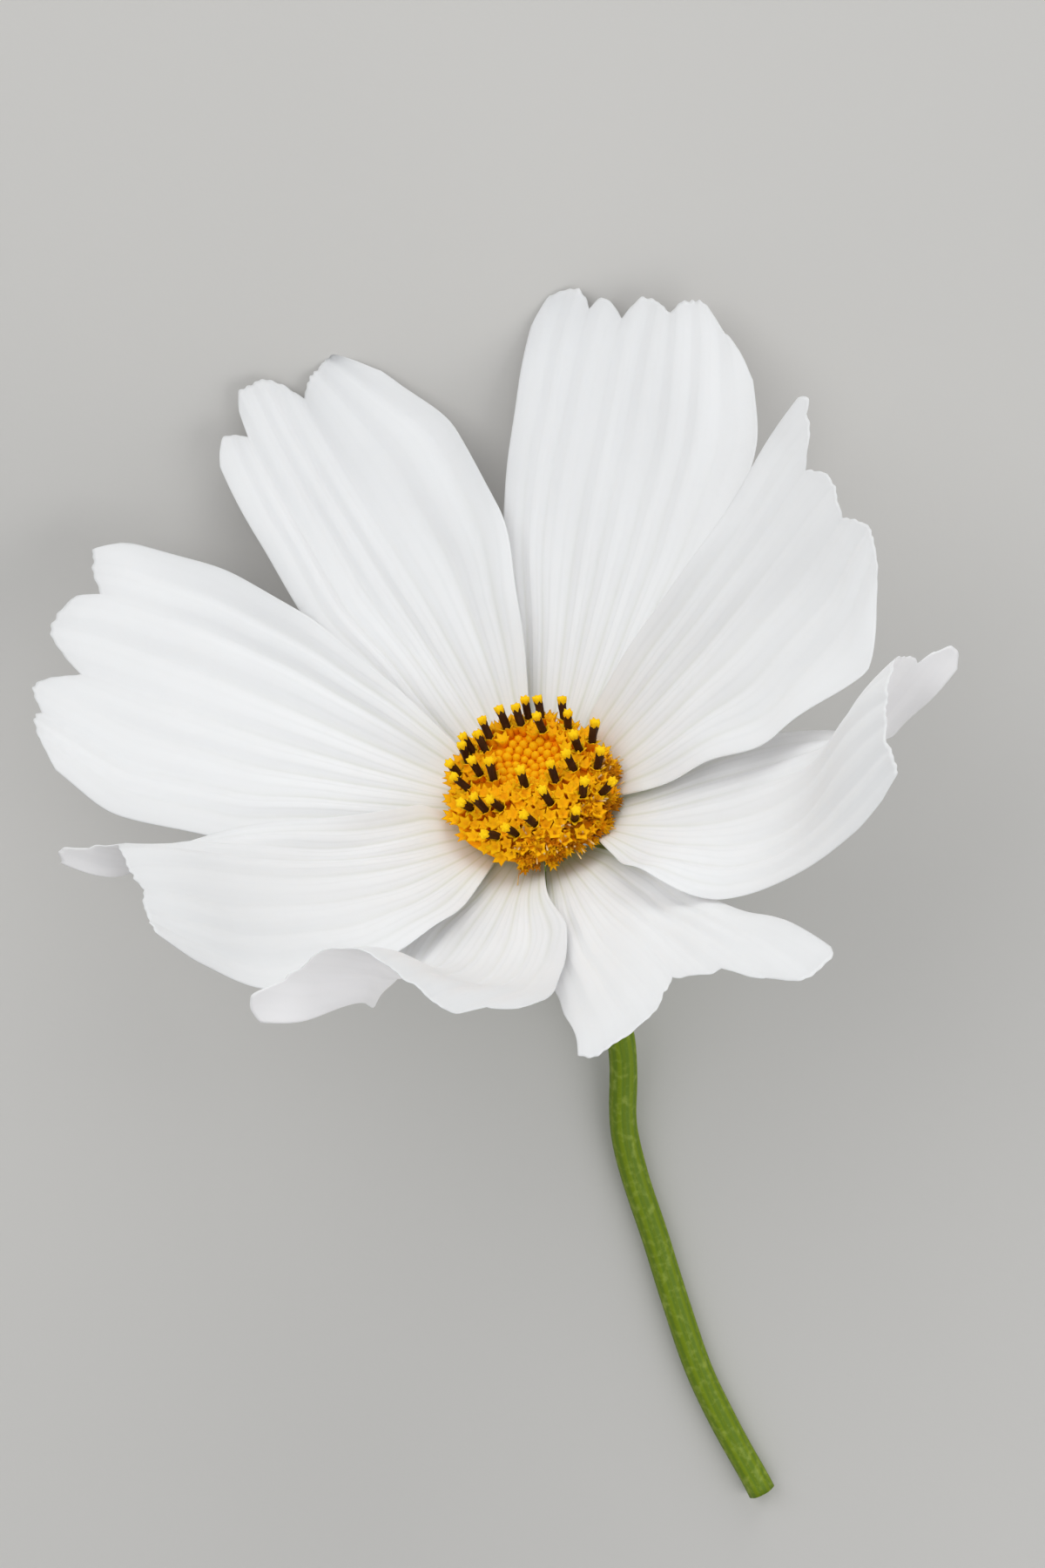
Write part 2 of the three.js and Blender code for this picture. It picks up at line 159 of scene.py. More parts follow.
def make_piece(name, points, faces, uv, materials, face_material=None):
    """A mesh from points in mm, from face arrays and from one UV place for each point."""
    mesh = bpy.data.meshes.new(name)
    corners = np.concatenate([part.ravel() for part in faces]).astype(np.int32)
    sizes = np.concatenate([np.full(len(part), part.shape[1]) for part in faces])
    mesh.vertices.add(len(points))
    mesh.vertices.foreach_set("co", (points * MM).astype(np.float32).ravel())
    mesh.loops.add(len(corners))
    mesh.loops.foreach_set("vertex_index", corners)
    mesh.polygons.add(len(sizes))
    mesh.polygons.foreach_set("loop_start", (np.cumsum(sizes) - sizes).astype(np.int32))
    mesh.polygons.foreach_set("use_smooth", np.ones(len(sizes), bool))
    if face_material is not None:
        mesh.polygons.foreach_set("material_index", face_material.astype(np.int32))
    layer = mesh.uv_layers.new(name="growth")
    layer.data.foreach_set("uv", uv[corners].astype(np.float32).ravel())
    for material in materials:
        mesh.materials.append(material)
    mesh.update(calc_edges=True)
    mesh.validate()
    piece = bpy.data.objects.new(name, mesh)
    bpy.context.scene.collection.objects.link(piece)
    return piece


def quad_grid(rows, columns, closed=False):
    """Quads of a grid of points kept row by row, whose normals are columns crossed with rows.
    A closed grid joins its last column to its first."""
    i, j = np.meshgrid(np.arange(rows - 1), np.arange(columns - (not closed)), indexing="ij")
    after = (j + 1) % columns
    quads = [i * columns + j, i * columns + after, (i + 1) * columns + after, (i + 1) * columns + j]
    return stacked(*quads).reshape(-1, 4)


def thick_sheet(middle, thickness, uv):
    """A closed sheet about a grid of points: each side is moved out along the grid's normal by
    half of the thickness there, and quads along the rim join the two sides. Both have the same
    UV, and a number for each face says which side it is."""
    rows, columns = middle.shape[:2]
    normal = np.cross(np.gradient(middle, axis=1), np.gradient(middle, axis=0))
    normal /= np.linalg.norm(normal, axis=-1, keepdims=True) + 1e-12
    half = normal * thickness[..., None] / 2
    points = np.concatenate([(middle + half).reshape(-1, 3), (middle - half).reshape(-1, 3)])
    count = rows * columns
    face = quad_grid(rows, columns)
    index = np.arange(count).reshape(rows, columns)
    rim = np.concatenate([index[0], index[1:, -1], index[-1, -2::-1], index[-2:0:-1, 0]])
    following = np.roll(rim, -1)
    edge = stacked(rim, rim + count, following + count, following)
    sides = np.repeat([0, 1, 0], [len(face), len(face), len(edge)])
    uv = np.tile(uv.reshape(-1, 2), (2, 1))
    return points, [face, face[:, ::-1] + count, edge], uv, sides


def between_poles(grid, first, last, share):
    """Closed rings, one to each row of a grid of points, with a fan to a pole at each end. UV runs
    once around each ring, and the rings lie at the given shares along."""
    rows, columns = grid.shape[:2]
    points = np.concatenate([grid.reshape(-1, 3), [first, last]])
    around = np.arange(columns)
    after = (around + 1) % columns
    final = (rows - 1) * columns
    low = stacked(rows * columns, after, around)
    high = stacked(rows * columns + 1, final + around, final + after)
    uv = stacked(np.tile(around / columns, rows), np.repeat(share, columns))
    uv = np.concatenate([uv, [[0.5, 0.0], [0.5, 1.0]]])
    return points, [quad_grid(rows, columns, True), np.concatenate([low, high])], uv


def lobed_tube(rings, segments, lobes=5):
    """Rings about the axis, closed by a pole at each end. A ring's radius is a + b lobe and its
    height is c + d lobe, where lobe falls evenly from 1 in a lobe's middle to 0 between two."""
    turn = np.arange(segments) / segments
    lobe = 1 - 2 * np.abs((turn * lobes + 0.5) % 1 - 0.5)
    a, b, c, d = np.array(rings, float)[1:-1, :, None].transpose(1, 0, 2)
    radius = a + b * lobe
    height = c + d * lobe
    angle = 2 * np.pi * turn
    ring = stacked(radius * np.cos(angle), radius * np.sin(angle), height)
    share = (np.arange(len(ring)) + 0.5) / len(ring)
    return between_poles(ring, [0, 0, rings[0][2]], [0, 0, rings[-1][2]], share)


def on_disc(shape, foot_r, azimuth, foot_z, lean, spin, wide, tall, towards=None):
    """Copies of a shape on the disc. Each is scaled, spun about its own axis, leaned about its
    foot towards its azimuth, or towards another one if given, and set at its foot's place."""
    points, faces, uv = shape
    towards = azimuth if towards is None else towards
    foot_r, azimuth, foot_z, lean, spin, wide, tall, towards = (
        np.atleast_1d(np.asarray(value, float))[:, None]
        for value in np.broadcast_arrays(foot_r, azimuth, foot_z, lean, spin, wide, tall, towards))
    x = points[:, 0] * wide
    y = points[:, 1] * wide
    z = points[:, 2] * tall
    spun_x = x * np.cos(spin) - y * np.sin(spin)
    spun_y = x * np.sin(spin) + y * np.cos(spin)
    tilt = np.radians(lean)
    out = spun_y * np.cos(tilt) + z * np.sin(tilt)
    height = z * np.cos(tilt) - spun_y * np.sin(tilt)
    foot = turned(stacked(0, foot_r, foot_z), azimuth)
    placed = turned(stacked(spun_x, out, height), towards) + foot
    copies = len(placed)
    offset = np.arange(copies)[:, None, None] * len(points)
    spread = [(part[None] + offset).reshape(-1, part.shape[1]) for part in faces]
    return placed.reshape(-1, 3), spread, np.tile(uv, (copies, 1))


def joined(parts):
    """Several (points, faces, uv) parts as one, with each face's part number."""
    points = np.concatenate([part[0] for part in parts])
    uv = np.concatenate([part[2] for part in parts])
    faces = []
    numbers = []
    start = 0
    for number, part in enumerate(parts):
        for group in part[1]:
            faces.append(group + start)
            numbers.append(np.full(len(group), number))
        start += len(part[0])
    return points, faces, uv, np.concatenate(numbers)


def swept_tube(path, reach):
    """A tube about a path: each ring lies square to the path, and reach holds its radii, ring by
    ring."""
    along = np.gradient(path, axis=0)
    along /= np.linalg.norm(along, axis=1, keepdims=True)
    side = np.cross(along, [1.0, 0.0, 0.0])
    side /= np.linalg.norm(side, axis=1, keepdims=True)
    up = np.cross(side, along)
    turn = (2 * np.pi * np.arange(reach.shape[1]) / reach.shape[1])[None, :, None]
    ring = path[:, None] + reach[..., None] * (
        side[:, None] * np.cos(turn) - up[:, None] * np.sin(turn))
    return between_poles(ring, path[0], path[-1], np.arange(len(path)) / (len(path) - 1))


def finish_piece(piece, slot, *nodes):
    """The piece rides on the flower's body and stands for CAD nodes. The slot is not used."""
    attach(piece, BODY)
    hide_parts(*nodes)


def bloom_piece(name, shape, materials, slot, node, face_material=None):
    """A finished piece from the points, faces and UV of a shape in the bloom's own frame."""
    points, faces, uv = shape[:3]
    piece = make_piece(name, head_to_world(points), faces, uv, materials, face_material)
    finish_piece(piece, slot, node)


# ---- petals -------------------------------------------------------------------------------

WIDTH_STATIONS = [0, 0.12, 0.3, 0.5, 0.7, 0.86, 1]
RISE_STATIONS = [0, 0.25, 0.5, 0.75, 1]
# Half widths and bends at the first two width stations: the usual base, one beside a gap, a broad
# one, and one that starts narrow.
BASES = [[2.0, 4.3], [1.6, 3.2], [1.9, 5.3], [0.4, 3.7]]
BASE_BENDS = [12, 18]
USUAL_BENDS = [30, 20, 15, 5, 0]
# A lap is full from the first of these parts of the length to the second, and ends at the third.
LAP_LIFT = 0.85
LAP_STATIONS = (0.12, 0.42, 0.8)
# The midrib is worked out in steps, up to a little past the petal's length.
MIDRIB_STEPS = 110
MIDRIB_END = 1.1
PETAL_COLUMNS = 151
PETAL_ROWS = 111
# A column this near to a given place of the tip gives way to one at the place itself.
COLUMN_GAP = 0.004
# The tip's fine scallops and the margins' wander, as parts of the length and of the width.
SCALLOP_DEPTH = 0.0016
WIDTH_WANDER = 0.008
# Folds are lower where a half is narrower than this. Their grooves wander by this part of a fold,
# and a last groove lies outside each margin.
FULL_FOLD_WIDTH = 8
GROOVE_WANDER = 0.1
OUTER_GROOVE = 1.15
# The overall unevenness and the extra thickness at the base in mm, and the part of the thickness
# that a margin loses.
UNEVENNESS = 0.12
BASE_THICKENING = 0.12
MARGIN_THINNING = 0.72

# All but the grooves is the CAD's. A margin laps over (1) or under (-1) its neighbour. Lift is in
# mm, and roll and sweep turn the petal along its length in degrees. Widths and bends stand at the
# width stations after the base's two, and rises at the rise stations. A tip lists places across
# and the part of the length reached there, and grooves are the places of the furrows between the
# petal's long folds. Places run across from the left margin (-1) to the right one (1).
PETALS = [
    {"azimuth": -65, "lap": (-1, 1), "lift": 0.5,
     "rise": [15, 18, 20, 20, 18],
     "left": [8, 11.7, 12.2, 9.8, 7], "right": [7.4, 10.2, 12, 12.4, 10.6],
     "bend_left": [28, 25, 15, 5, 0], "bend_right": [35, 25, 15, 5, 0],
     "tip": [(-1, 0.86), (-0.66, 0.94), (-0.58, 0.93), (-0.38, 0.965), (-0.04, 0.88),
             (0.26, 0.975), (0.54, 0.95), (0.58, 0.9), (0.87, 0.94), (0.96, 0.95), (1, 0.9)],
     "grooves": [-0.8, -0.58, -0.3, -0.04, 0.27, 0.58, 0.82]},
    {"azimuth": -19, "lap": (-1, 1), "lift": 0,
     "rise": [20, 22, 23, 23, 23],
     "left": [6.4, 8.4, 8.6, 8.2, 7.4], "right": [7.6, 9.9, 10.1, 8.1, 5.4],
     "tip": [(-1, 0.88), (-0.84, 0.935), (-0.61, 0.91), (-0.58, 0.975), (-0.48, 1.01),
             (-0.24, 1.01), (0.11, 0.93), (0.47, 0.97), (0.8, 0.985), (1, 0.9)],
     "grooves": [-0.8, -0.6, -0.34, -0.12, 0.11, 0.45, 0.75]},
    {"azimuth": 27, "lap": (-1, -1), "lift": -0.6, "length": 40,
     "rise": [19, 24, 25, 25, 24],
     "left": [6.6, 9, 9.6, 9.9, 9.1], "right": [7.2, 9.8, 11.2, 9.2, 6.2],
     "tip": [(-1, 0.88), (-0.92, 0.95), (-0.72, 0.97), (-0.56, 0.935), (-0.47, 0.96),
             (-0.26, 0.925), (-0.1, 0.975), (0.2, 0.95), (0.39, 0.98), (0.57, 0.985),
             (0.8, 0.925), (1, 0.84)],
     "grooves": [-0.8, -0.56, -0.26, -0.04, 0.2, 0.44, 0.72]},
    {"azimuth": 75, "lap": (1, 1), "base": (0, 2), "lift": 0.4, "length": 37,
     "roll": -10,
     "rise": [28, 38, 42, 42, 38],
     "left": [5.4, 6.1, 7.4, 8.8, 9], "right": [9, 12.8, 12.7, 8.6, 6],
     "bend_left": [35, 30, 15, 0, 0], "bend_right": [35, 30, 20, 10, 0],
     "tip": [(-1, 0.94), (-0.92, 0.96), (-0.84, 0.93), (-0.5, 0.85), (-0.28, 0.885),
             (0.1, 0.855), (0.42, 0.89), (0.68, 0.865), (1, 0.72)],
     "grooves": [-0.75, -0.5, -0.2, 0.1, 0.38, 0.66]},
    {"azimuth": 124, "lap": (-1, 1), "base": (0, 3), "lift": 0.2, "length": 42,
     "roll": -13, "sweep": -11,
     "rise": [28, 34, 44, 67, 47],
     "left": [7.1, 7.8, 7.5, 8.9, 11.2], "right": [8.2, 9.9, 9.8, 9, 6.7],
     "bend_left": [8, -29, -105, -122, -106], "bend_right": [50, 14, 0, -11, -17],
     "tip": [(-1, 0.95), (-0.87, 0.987), (-0.77, 0.966), (-0.71, 0.93), (-0.57, 0.95),
             (-0.1, 0.997), (0.1, 0.995), (0.53, 0.987), (0.75, 1), (0.91, 1), (1, 0.95)],
     "grooves": [-0.8, -0.5, -0.2, 0.08, 0.36, 0.62, 0.84]},
    {"azimuth": 164, "lap": (-1, -1), "base": (0, 1), "lift": -0.8,
     "rise": [28, 36, 38, 34, 24],
     "left": [5.4, 6.3, 7.8, 9.5, 10.9], "right": [5.4, 7.2, 8.1, 8.7, 10.6],
     "bend_left": [35, 16, 8, 4, 0], "bend_right": [0, -8, -5, 0, -10],
     "tip": [(-1, 0.985), (-0.92, 1.015), (-0.7, 1.03), (-0.52, 0.965), (-0.34, 0.87),
             (0, 0.8), (0.15, 0.85), (0.45, 0.92), (0.83, 0.94), (1, 0.915)],
     "grooves": [-0.78, -0.52, -0.25, 0, 0.28, 0.54, 0.8]},
    {"azimuth": 202, "lap": (1, -1), "base": (1, 0), "lift": -0.1, "length": 41,
     "roll": 19, "sweep": 5,
     "rise": [18, 30, 53, 68, 46],
     "left": [7, 8.6, 9.8, 9.4, 8.6], "right": [6.6, 6, 6, 10.1, 14],
     "bend_left": [36, 25, 16, -2, -10], "bend_right": [25, -51, -104, -120, -101],
     "tip": [(-1, 0.71), (-0.96, 0.81), (-0.85, 0.87), (-0.8, 0.975), (-0.68, 0.998),
             (-0.46, 0.995), (0, 0.96), (0.35, 0.945), (0.61, 0.93), (0.71, 0.942),
             (0.86, 0.985), (1, 0.95)],
     "grooves": [-0.8, -0.55, -0.28, 0, 0.28, 0.55, 0.8]},
    {"azimuth": 246, "lap": (1, 1), "base": (2, 0), "lift": 0.4, "length": 40,
     "roll": 16,
     "rise": [21, 36, 47, 51, 31],
     "left": [9.6, 11.5, 11.7, 8.9, 5.2], "right": [4.2, 4.7, 5.5, 6.8, 9.6],
     "bend_left": [33, 17, -1, -9, 12], "bend_right": [28, -9, -78, -136, -99],
     "tip": [(-1, 0.94), (-0.98, 0.959), (-0.55, 0.947), (-0.33, 0.93), (-0.19, 0.943),
             (0.14, 0.94), (0.42, 0.885), (0.72, 0.93), (0.86, 0.972), (1, 0.965)],
     "grooves": [-0.8, -0.56, -0.3, -0.04, 0.25, 0.52, 0.78]},
]


def midrib(petal, t):
    """Points of the midrib and its side and up directions at parts t of the petal's length. The
    line starts at the petal ring, its elevation is the rise there, its yaw is the sweep times t to
    the power 1.5, and side and up roll evenly."""
    steps = MIDRIB_END * np.arange(MIDRIB_STEPS + 1) / MIDRIB_STEPS
    elevation = np.radians(smooth_curve(RISE_STATIONS, petal["rise"])(steps))
    yaw = np.radians(petal.get("sweep", 0) * steps ** 1.5)
    level = np.cos(elevation)
    forward = stacked(level * np.sin(yaw), level * np.cos(yaw), np.sin(elevation))
    length = petal.get("length", PETAL_LENGTH)
    travel = np.cumsum(forward * length * MIDRIB_END / MIDRIB_STEPS, axis=0)
    point = travel - travel[0] + np.array([0, PETAL_RING_R, petal["lift"]])
    side = stacked(np.cos(yaw), -np.sin(yaw), 0)
    up = np.cross(side, forward)
    roll = np.radians(petal.get("roll", 0) * np.minimum(steps, 1))[:, None]
    rolled_side = side * np.cos(roll) + up * np.sin(roll)
    rolled_up = up * np.cos(roll) - side * np.sin(roll)

    def read(values):
        return stacked(*(np.interp(t, steps, part) for part in values.T))

    return read(point), read(rolled_side), read(rolled_up)


def tip_reach(petal, v):
    """The part of the length reached at place v across: between two given places it follows a
    quarter sine where it rises and a quarter cosine where it falls, so lobes are round and
    notches are sharp."""
    places, reaches = np.array(petal["tip"]).T
    i = np.clip(np.searchsorted(places, v, side="left") - 1, 0, len(places) - 2)
    q = (v - places[i]) / (places[i + 1] - places[i])
    rising = reaches[i + 1] > reaches[i]
    eased = np.where(rising, np.sin(q * np.pi / 2), 1 - np.cos(q * np.pi / 2))
    return reaches[i] + (reaches[i + 1] - reaches[i]) * eased


def fold_relief(petal, v, t, width, seed, sizes):
    """The phase that the relief follows, which grows by one from groove to groove, and its
    height: round folds, the absolute sine of half turns of the phase to the power 1.4, with three
    fine ribs to a fold, both weaker at the base, the tip and the margins; waves that grow towards
    the margins; and an overall unevenness."""
    grooves = np.array([-OUTER_GROOVE] + petal["grooves"] + [OUTER_GROOVE])
    phase = smooth_curve(grooves, np.arange(len(grooves)))(v)
    phase = phase + GROOVE_WANDER * ripple(v, t, 0.6, 0.7, seed)
    folds = np.abs(np.sin(np.pi * phase)) ** 1.4 - 0.5
    ribs = np.cos(6 * np.pi * phase)
    grow = smoothstep(t, 0.02, 0.3) * (1 - 0.45 * smoothstep(t, 0.6, 1.0))
    fade = 1 - 0.7 * np.abs(v) ** 6
    waves = np.abs(v) ** 3 * smoothstep(t, 0.25, 0.7) * ripple(v, t, 0.3, 1.5, seed + 1, 3)
    uneven = ripple(v, t, 1.2, 1.4, seed + 2)
    depth = sizes.fold_depth / MM * np.minimum(width / FULL_FOLD_WIDTH, 1)
    relief = (depth * folds * grow + sizes.rib_depth / MM * ribs * grow) * fade
    return phase, relief + sizes.margin_wave / MM * waves + UNEVENNESS * uneven * grow


def petal_mesh(petal, number, sizes):
    """A petal's closed sheet. Across, each half is an arc of a circle: at place v its side reach
    is width sin(bend v) / bend and its height width (1 - cos(bend v)) / bend, and v squared times
    the lap is added to the height. Along, place u on the grid lies at t = u - (1 - tip reach) u
    cubed of the length. The relief is added square to the arc. The thickness falls from the base
    and the middle to the margins."""
    even = np.linspace(-1, 1, PETAL_COLUMNS)
    marks = np.array([place for place, _ in petal["tip"]])
    keep = np.min(np.abs(even[:, None] - marks[None]), axis=1) > COLUMN_GAP
    v = np.sort(np.concatenate([even[keep], marks]))[None, :]
    u = np.linspace(0, 1, PETAL_ROWS)[:, None]
    reach = tip_reach(petal, v)
    scallop = SCALLOP_DEPTH * ripple(v, 0 * v, 9, 0, 40 + number, 4)
    t = u - (1 - reach - scallop) * u ** 3
    point, side, up = midrib(petal, t)

    def both(left, right):
        return np.where(v < 0, smooth_curve(WIDTH_STATIONS, left)(t),
                        smooth_curve(WIDTH_STATIONS, right)(t))

    bases = [BASES[kind] for kind in petal.get("base", (0, 0))]
    width = both(bases[0] + petal["left"], bases[1] + petal["right"])
    bends = [BASE_BENDS + petal.get(key, USUAL_BENDS) for key in ("bend_left", "bend_right")]
    bend = np.radians(both(*bends))
    bend = np.where(np.abs(bend) < 1e-3, 1e-3, bend)
    width = width * (1 + WIDTH_WANDER * ripple(t, np.sign(v), 3, 0.3, 60 + number, 4))
    arc = bend * np.abs(v)
    full, fading, end = LAP_STATIONS
    window = smoothstep(t, 0, full) * (1 - smoothstep(t, fading, end))
    lap = LAP_LIFT * np.where(v < 0, petal["lap"][0], petal["lap"][1]) * v * v * window
    reach_side = np.sign(v) * width * np.sin(arc) / bend
    reach_up = width * (1 - np.cos(arc)) / bend + lap
    phase, relief = fold_relief(petal, v, t, width, 10 * number, sizes)
    square_side = -np.sign(v) * np.sin(arc)
    square_up = np.cos(arc)
    middle = (point + side * (reach_side + relief * square_side)[..., None]
              + up * (reach_up + relief * square_up)[..., None])
    thin = MARGIN_THINNING * np.maximum(np.abs(v) ** 8, u ** 14)
    thickness = sizes.petal_thickness / MM * (1 - thin)
    thickness = thickness + BASE_THICKENING * (1 - smoothstep(t, 0, 0.2))
    middle = turned(middle, petal["azimuth"])
    points, faces, uv, sides = thick_sheet(middle, thickness, stacked(phase, t))
    return above_floor(head_to_world(points)), faces, uv, sides


# ---- florets ------------------------------------------------------------------------------

# Distance from the axis and azimuth of each open floret's foot, then its lean from the axis and the
# azimuth that it leans towards, as in the CAD.
FLORETS = [
    (1.1, -161, 18, -5), (2.7, -87, 31, -1), (2.6, 123, 34, -9), (3.4, -135, 24, -87),
    (3.4, 155, 14, -56), (3.8, -72, 16, -44), (3.8, 96, 18, -33), (4.2, -42, 38, -19),
    (4.3, -123, 33, -47), (4.4, -179, 21, -90), (4.5, 26, 18, -26), (4.6, -88, 40, -57),
    (4.7, 71, 11, -23), (4.7, 125, 14, 79), (5, -161, 25, -109), (5, -105, 24, -124),
    (5, -27, 38, -17), (5.1, -9, 40, -14), (5, 4, 40, -8), (5.2, -57, 28, -17),
    (5.2, -46, 33, -36), (5.3, -145, 40, -113), (5.3, 147, 16, 142), (5.4, 94, 25, 50),
    (5.6, 43, 14, 43), (5.8, -67, 15, -81), (5.8, 67, 32, 42), (5.8, 116, 36, 96),
    (5.9, 19, 36, 4), (6, 9, 27, 4), (6.2, 36, 40, 10),
]
FLORET_LIFT = 0.4
FLORET_SEGMENTS = 20
# Radians by which the corolla, the anther tube and the crown are turned about the floret's axis.
PART_TURNS = (0.0, 0.2, 0.83)
FLORET_UNEVENNESS = 0.02
FLORET_WAVE_REACH = 0.35
FLORET_LEAN_FROM = 2.5
FLORET_LEAN_PACE = 7.0

# Where the closed buds lie lowest: a hollow beside the middle, on the bloom's low side.
HOLLOW_R = 1.6
HOLLOW_AZIMUTH = 5.0
HOLLOW_REACH = 3.4
HOLLOW_DEPTH = 0.9

# The side of the disc where the oldest florets have withered, how far from its azimuth they stand
# at the rim, and how many florets and pale threads there are.
WITHERED_AZIMUTH = 136.0
WITHERED_ARC = 64
WITHERED_COUNT = 180
THREAD_COUNT = 50
# They stand from the first distance outwards, no farther than the last, and then down the side.
RIM_FROM_R = 4.8
RIM_REACH = 2.2
RIM_MOST_R = 6.3
RIM_DROP_FROM = 0.68
RIM_DROP = 4.0
RIM_LEANS = (15, 65)
# Corollas give way to them in a share that rises to the most between these distances from the
# axis, and falls to none between these angles from their side.
WITHERED_MOST = 0.8
WITHERED_RISING = (5.1, 6.0)
WITHERED_FADING = (32, 66)

# The dome falls by this much at the rim. Closed buds stand near the hollow, corollas elsewhere,
# both sunk a little, and keep a gap from the open florets' feet. Past the edge they go down the
# disc's side and lean out more, and all leans vary.
DOME_FALL = 1.5
BUDS_REACH = 2.7
OPEN_GAP = 0.5
EDGE_R = 6.2
EDGE_FALL = 1.2
EDGE_LEAN = 40
LEAN_SPREAD = 14
SUNK = 0.1
GOLDEN_ANGLE = 137.508

# The disc's ground, as distances from the axis, of which the first have these heights.
MOUND_R = [0.05, 2, 4.3, 5.4, 6.0, 6.4, 6.6, 6.6, 6.4, 6.0, 5.4, 4.7, 4.0, 3.2, 2.4, 1.6, 0.8,
           0.05]
MOUND_FOOT = [1.7, 1.7, 1.7, 1.85, 2.15, 2.4, 2.6]
MOUND_SEGMENTS = 96

# Rings of the shapes: radius, radius added in a lobe, height, height added in a lobe.
BUD_RINGS = [(0, 0, -0.2, 0), (0.42, 0.02, -0.15, 0), (0.46, 0.04, 0.35, 0), (0.4, 0.06, 0.7, 0),
             (0.2, 0.08, 0.95, 0.03), (0, 0, 1.0, 0)]
COROLLA_RINGS = [(0, 0, -0.3, 0), (0.26, 0, -0.2, 0), (0.33, 0.05, 0.5, 0.05),
                 (0.36, 0.2, 0.78, 0.34), (0.28, 0.08, 0.74, 0.22), (0, 0, 0.4, 0)]
FINE_COROLLA_RINGS = [(0, 0, -0.5, 0), (0.26, 0, -0.45, 0), (0.33, 0.02, 0.1, 0),
                      (0.37, 0.06, 0.3, 0.04), (0.4, 0.2, 0.38, 0.16), (0.4, 0.38, 0.4, 0.3),
                      (0.36, 0.18, 0.42, 0.2), (0.33, 0.02, 0.36, 0.02), (0.28, 0, 0.2, 0),
                      (0, 0, 0.1, 0)]
ANTHER_RINGS = [(0, 0, -0.1, 0), (0.25, 0.02, -0.05, 0), (0.28, 0.05, 0.5, 0),
                (0.29, 0.06, 1.1, 0), (0.3, 0.06, 1.6, 0), (0.33, 0.05, 1.7, 0.36),
                (0.27, 0.03, 1.7, 0.3), (0.24, 0, 1.45, 0), (0, 0, 1.4, 0)]
CROWN_RINGS = [(0, 0, 1.4, 0), (0.2, 0, 1.44, 0), (0.27, 0.0, 1.68, 0), (0.34, 0.04, 1.88, 0.02),
               (0.36, 0.08, 2.1, 0.05), (0.3, 0.13, 2.26, 0.12), (0.22, 0.08, 2.3, 0.08),
               (0.14, 0.03, 2.36, 0.02), (0, 0, 2.4, 0)]
WITHERED_RINGS = [(0, 0, -0.3, 0), (0.24, 0, -0.2, 0), (0.2, 0.1, 0.45, 0.05),
                  (0.16, 0.24, 0.8, 0.3), (0.12, 0.06, 0.7, 0.1), (0, 0, 0.5, 0)]
THREAD_RINGS = [(0, 0, -0.1, 0), (0.05, 0, 0, 0), (0.045, 0, 0.6, 0), (0.07, 0, 1.1, 0),
                (0, 0, 1.2, 0)]


def apart(r, azimuth, other_r, other_azimuth):
    """The distance between two places on the disc, by the law of cosines."""
    turn = np.radians(azimuth - other_azimuth)
    return np.sqrt(np.maximum(r ** 2 + other_r ** 2 - 2 * r * other_r * np.cos(turn), 0))


def dome_height(r, azimuth):
    """The disc's height over the petal ring: top - fall (r / rim) cubed, lowered by the smooth
    hollow."""
    hollow = 1 - smoothstep(apart(r, azimuth, HOLLOW_R, HOLLOW_AZIMUTH), 0, HOLLOW_REACH)
    return DISC_TOP - DOME_FALL * (r / DISC_RIM_R) ** 3 - HOLLOW_DEPTH * hollow


def withered_share(r, azimuth):
    """The share of withered florets: it grows towards the rim, in the arc where the oldest florets
    stand, and fades out at both ends of the arc."""
    off = np.abs((azimuth - WITHERED_AZIMUTH + 180) % 360 - 180)
    fade = 1 - smoothstep(off, *WITHERED_FADING)
    return WITHERED_MOST * smoothstep(r, *WITHERED_RISING) * fade


def floret_lean(r):
    """Degrees by which a floret leans outwards: the pace for each mm beyond the start."""
    return FLORET_LEAN_PACE * np.maximum(r - FLORET_LEAN_FROM, 0)


def mound_mesh():
    """The disc's ground as a surface of revolution: foot, rim and dome, with a fine unevenness."""
    radius = np.array(MOUND_R)
    azimuth = np.linspace(0, 360, MOUND_SEGMENTS, endpoint=False)
    top = dome_height(radius[len(MOUND_FOOT):, None], azimuth[None, :])
    foot = np.repeat(np.array(MOUND_FOOT)[:, None], MOUND_SEGMENTS, axis=1)
    height = np.concatenate([foot, top])
    wobble = 0.05 * ripple(azimuth[None, :] / 360, radius[:, None] / 7, 9, 7, 5)
    grid = turned(stacked(0, radius[:, None] + wobble, height), azimuth)[:, ::-1]
    return between_poles(grid, grid[0].mean(0), grid[-1].mean(0), np.arange(len(grid)) / len(grid))


def seed_spiral(pace):
    """Places over the disc in a sunflower spiral: distance pace times the root of the number, and
    each place the golden angle on from the last."""
    number = np.arange(int((DISC_RIM_R / pace) ** 2)) + 0.5
    azimuth = (number * GOLDEN_ANGLE) % 360
    return pace * np.sqrt(number), np.where(azimuth > 180, azimuth - 360, azimuth)


# ---- materials ----------------------------------------------------------------------------

# Blender's wave texture repeats every pi / 10 at scale 1.
WAVE_TO_UNIT = np.pi / 10

# How strong the furrows' colour and the veins are along a petal. The furrows' colour is a green
# tint that is also painted shade in the creases.
FURROW_FADING = [(0.0, 0.3), (0.05, 0.55), (0.18, 0.28), (0.4, 0.08), (0.7, 0.0)]
VEIN_FADING = [(0.05, 0.1), (0.18, 0.4), (0.3, 0.35), (0.55, 0.06)]

# Painted shade: a petal's colour darkens a little over its outer half.
OUTWARD_PAINTED_SHADE = [(0.3, 1.0), (0.75, 0.92)]

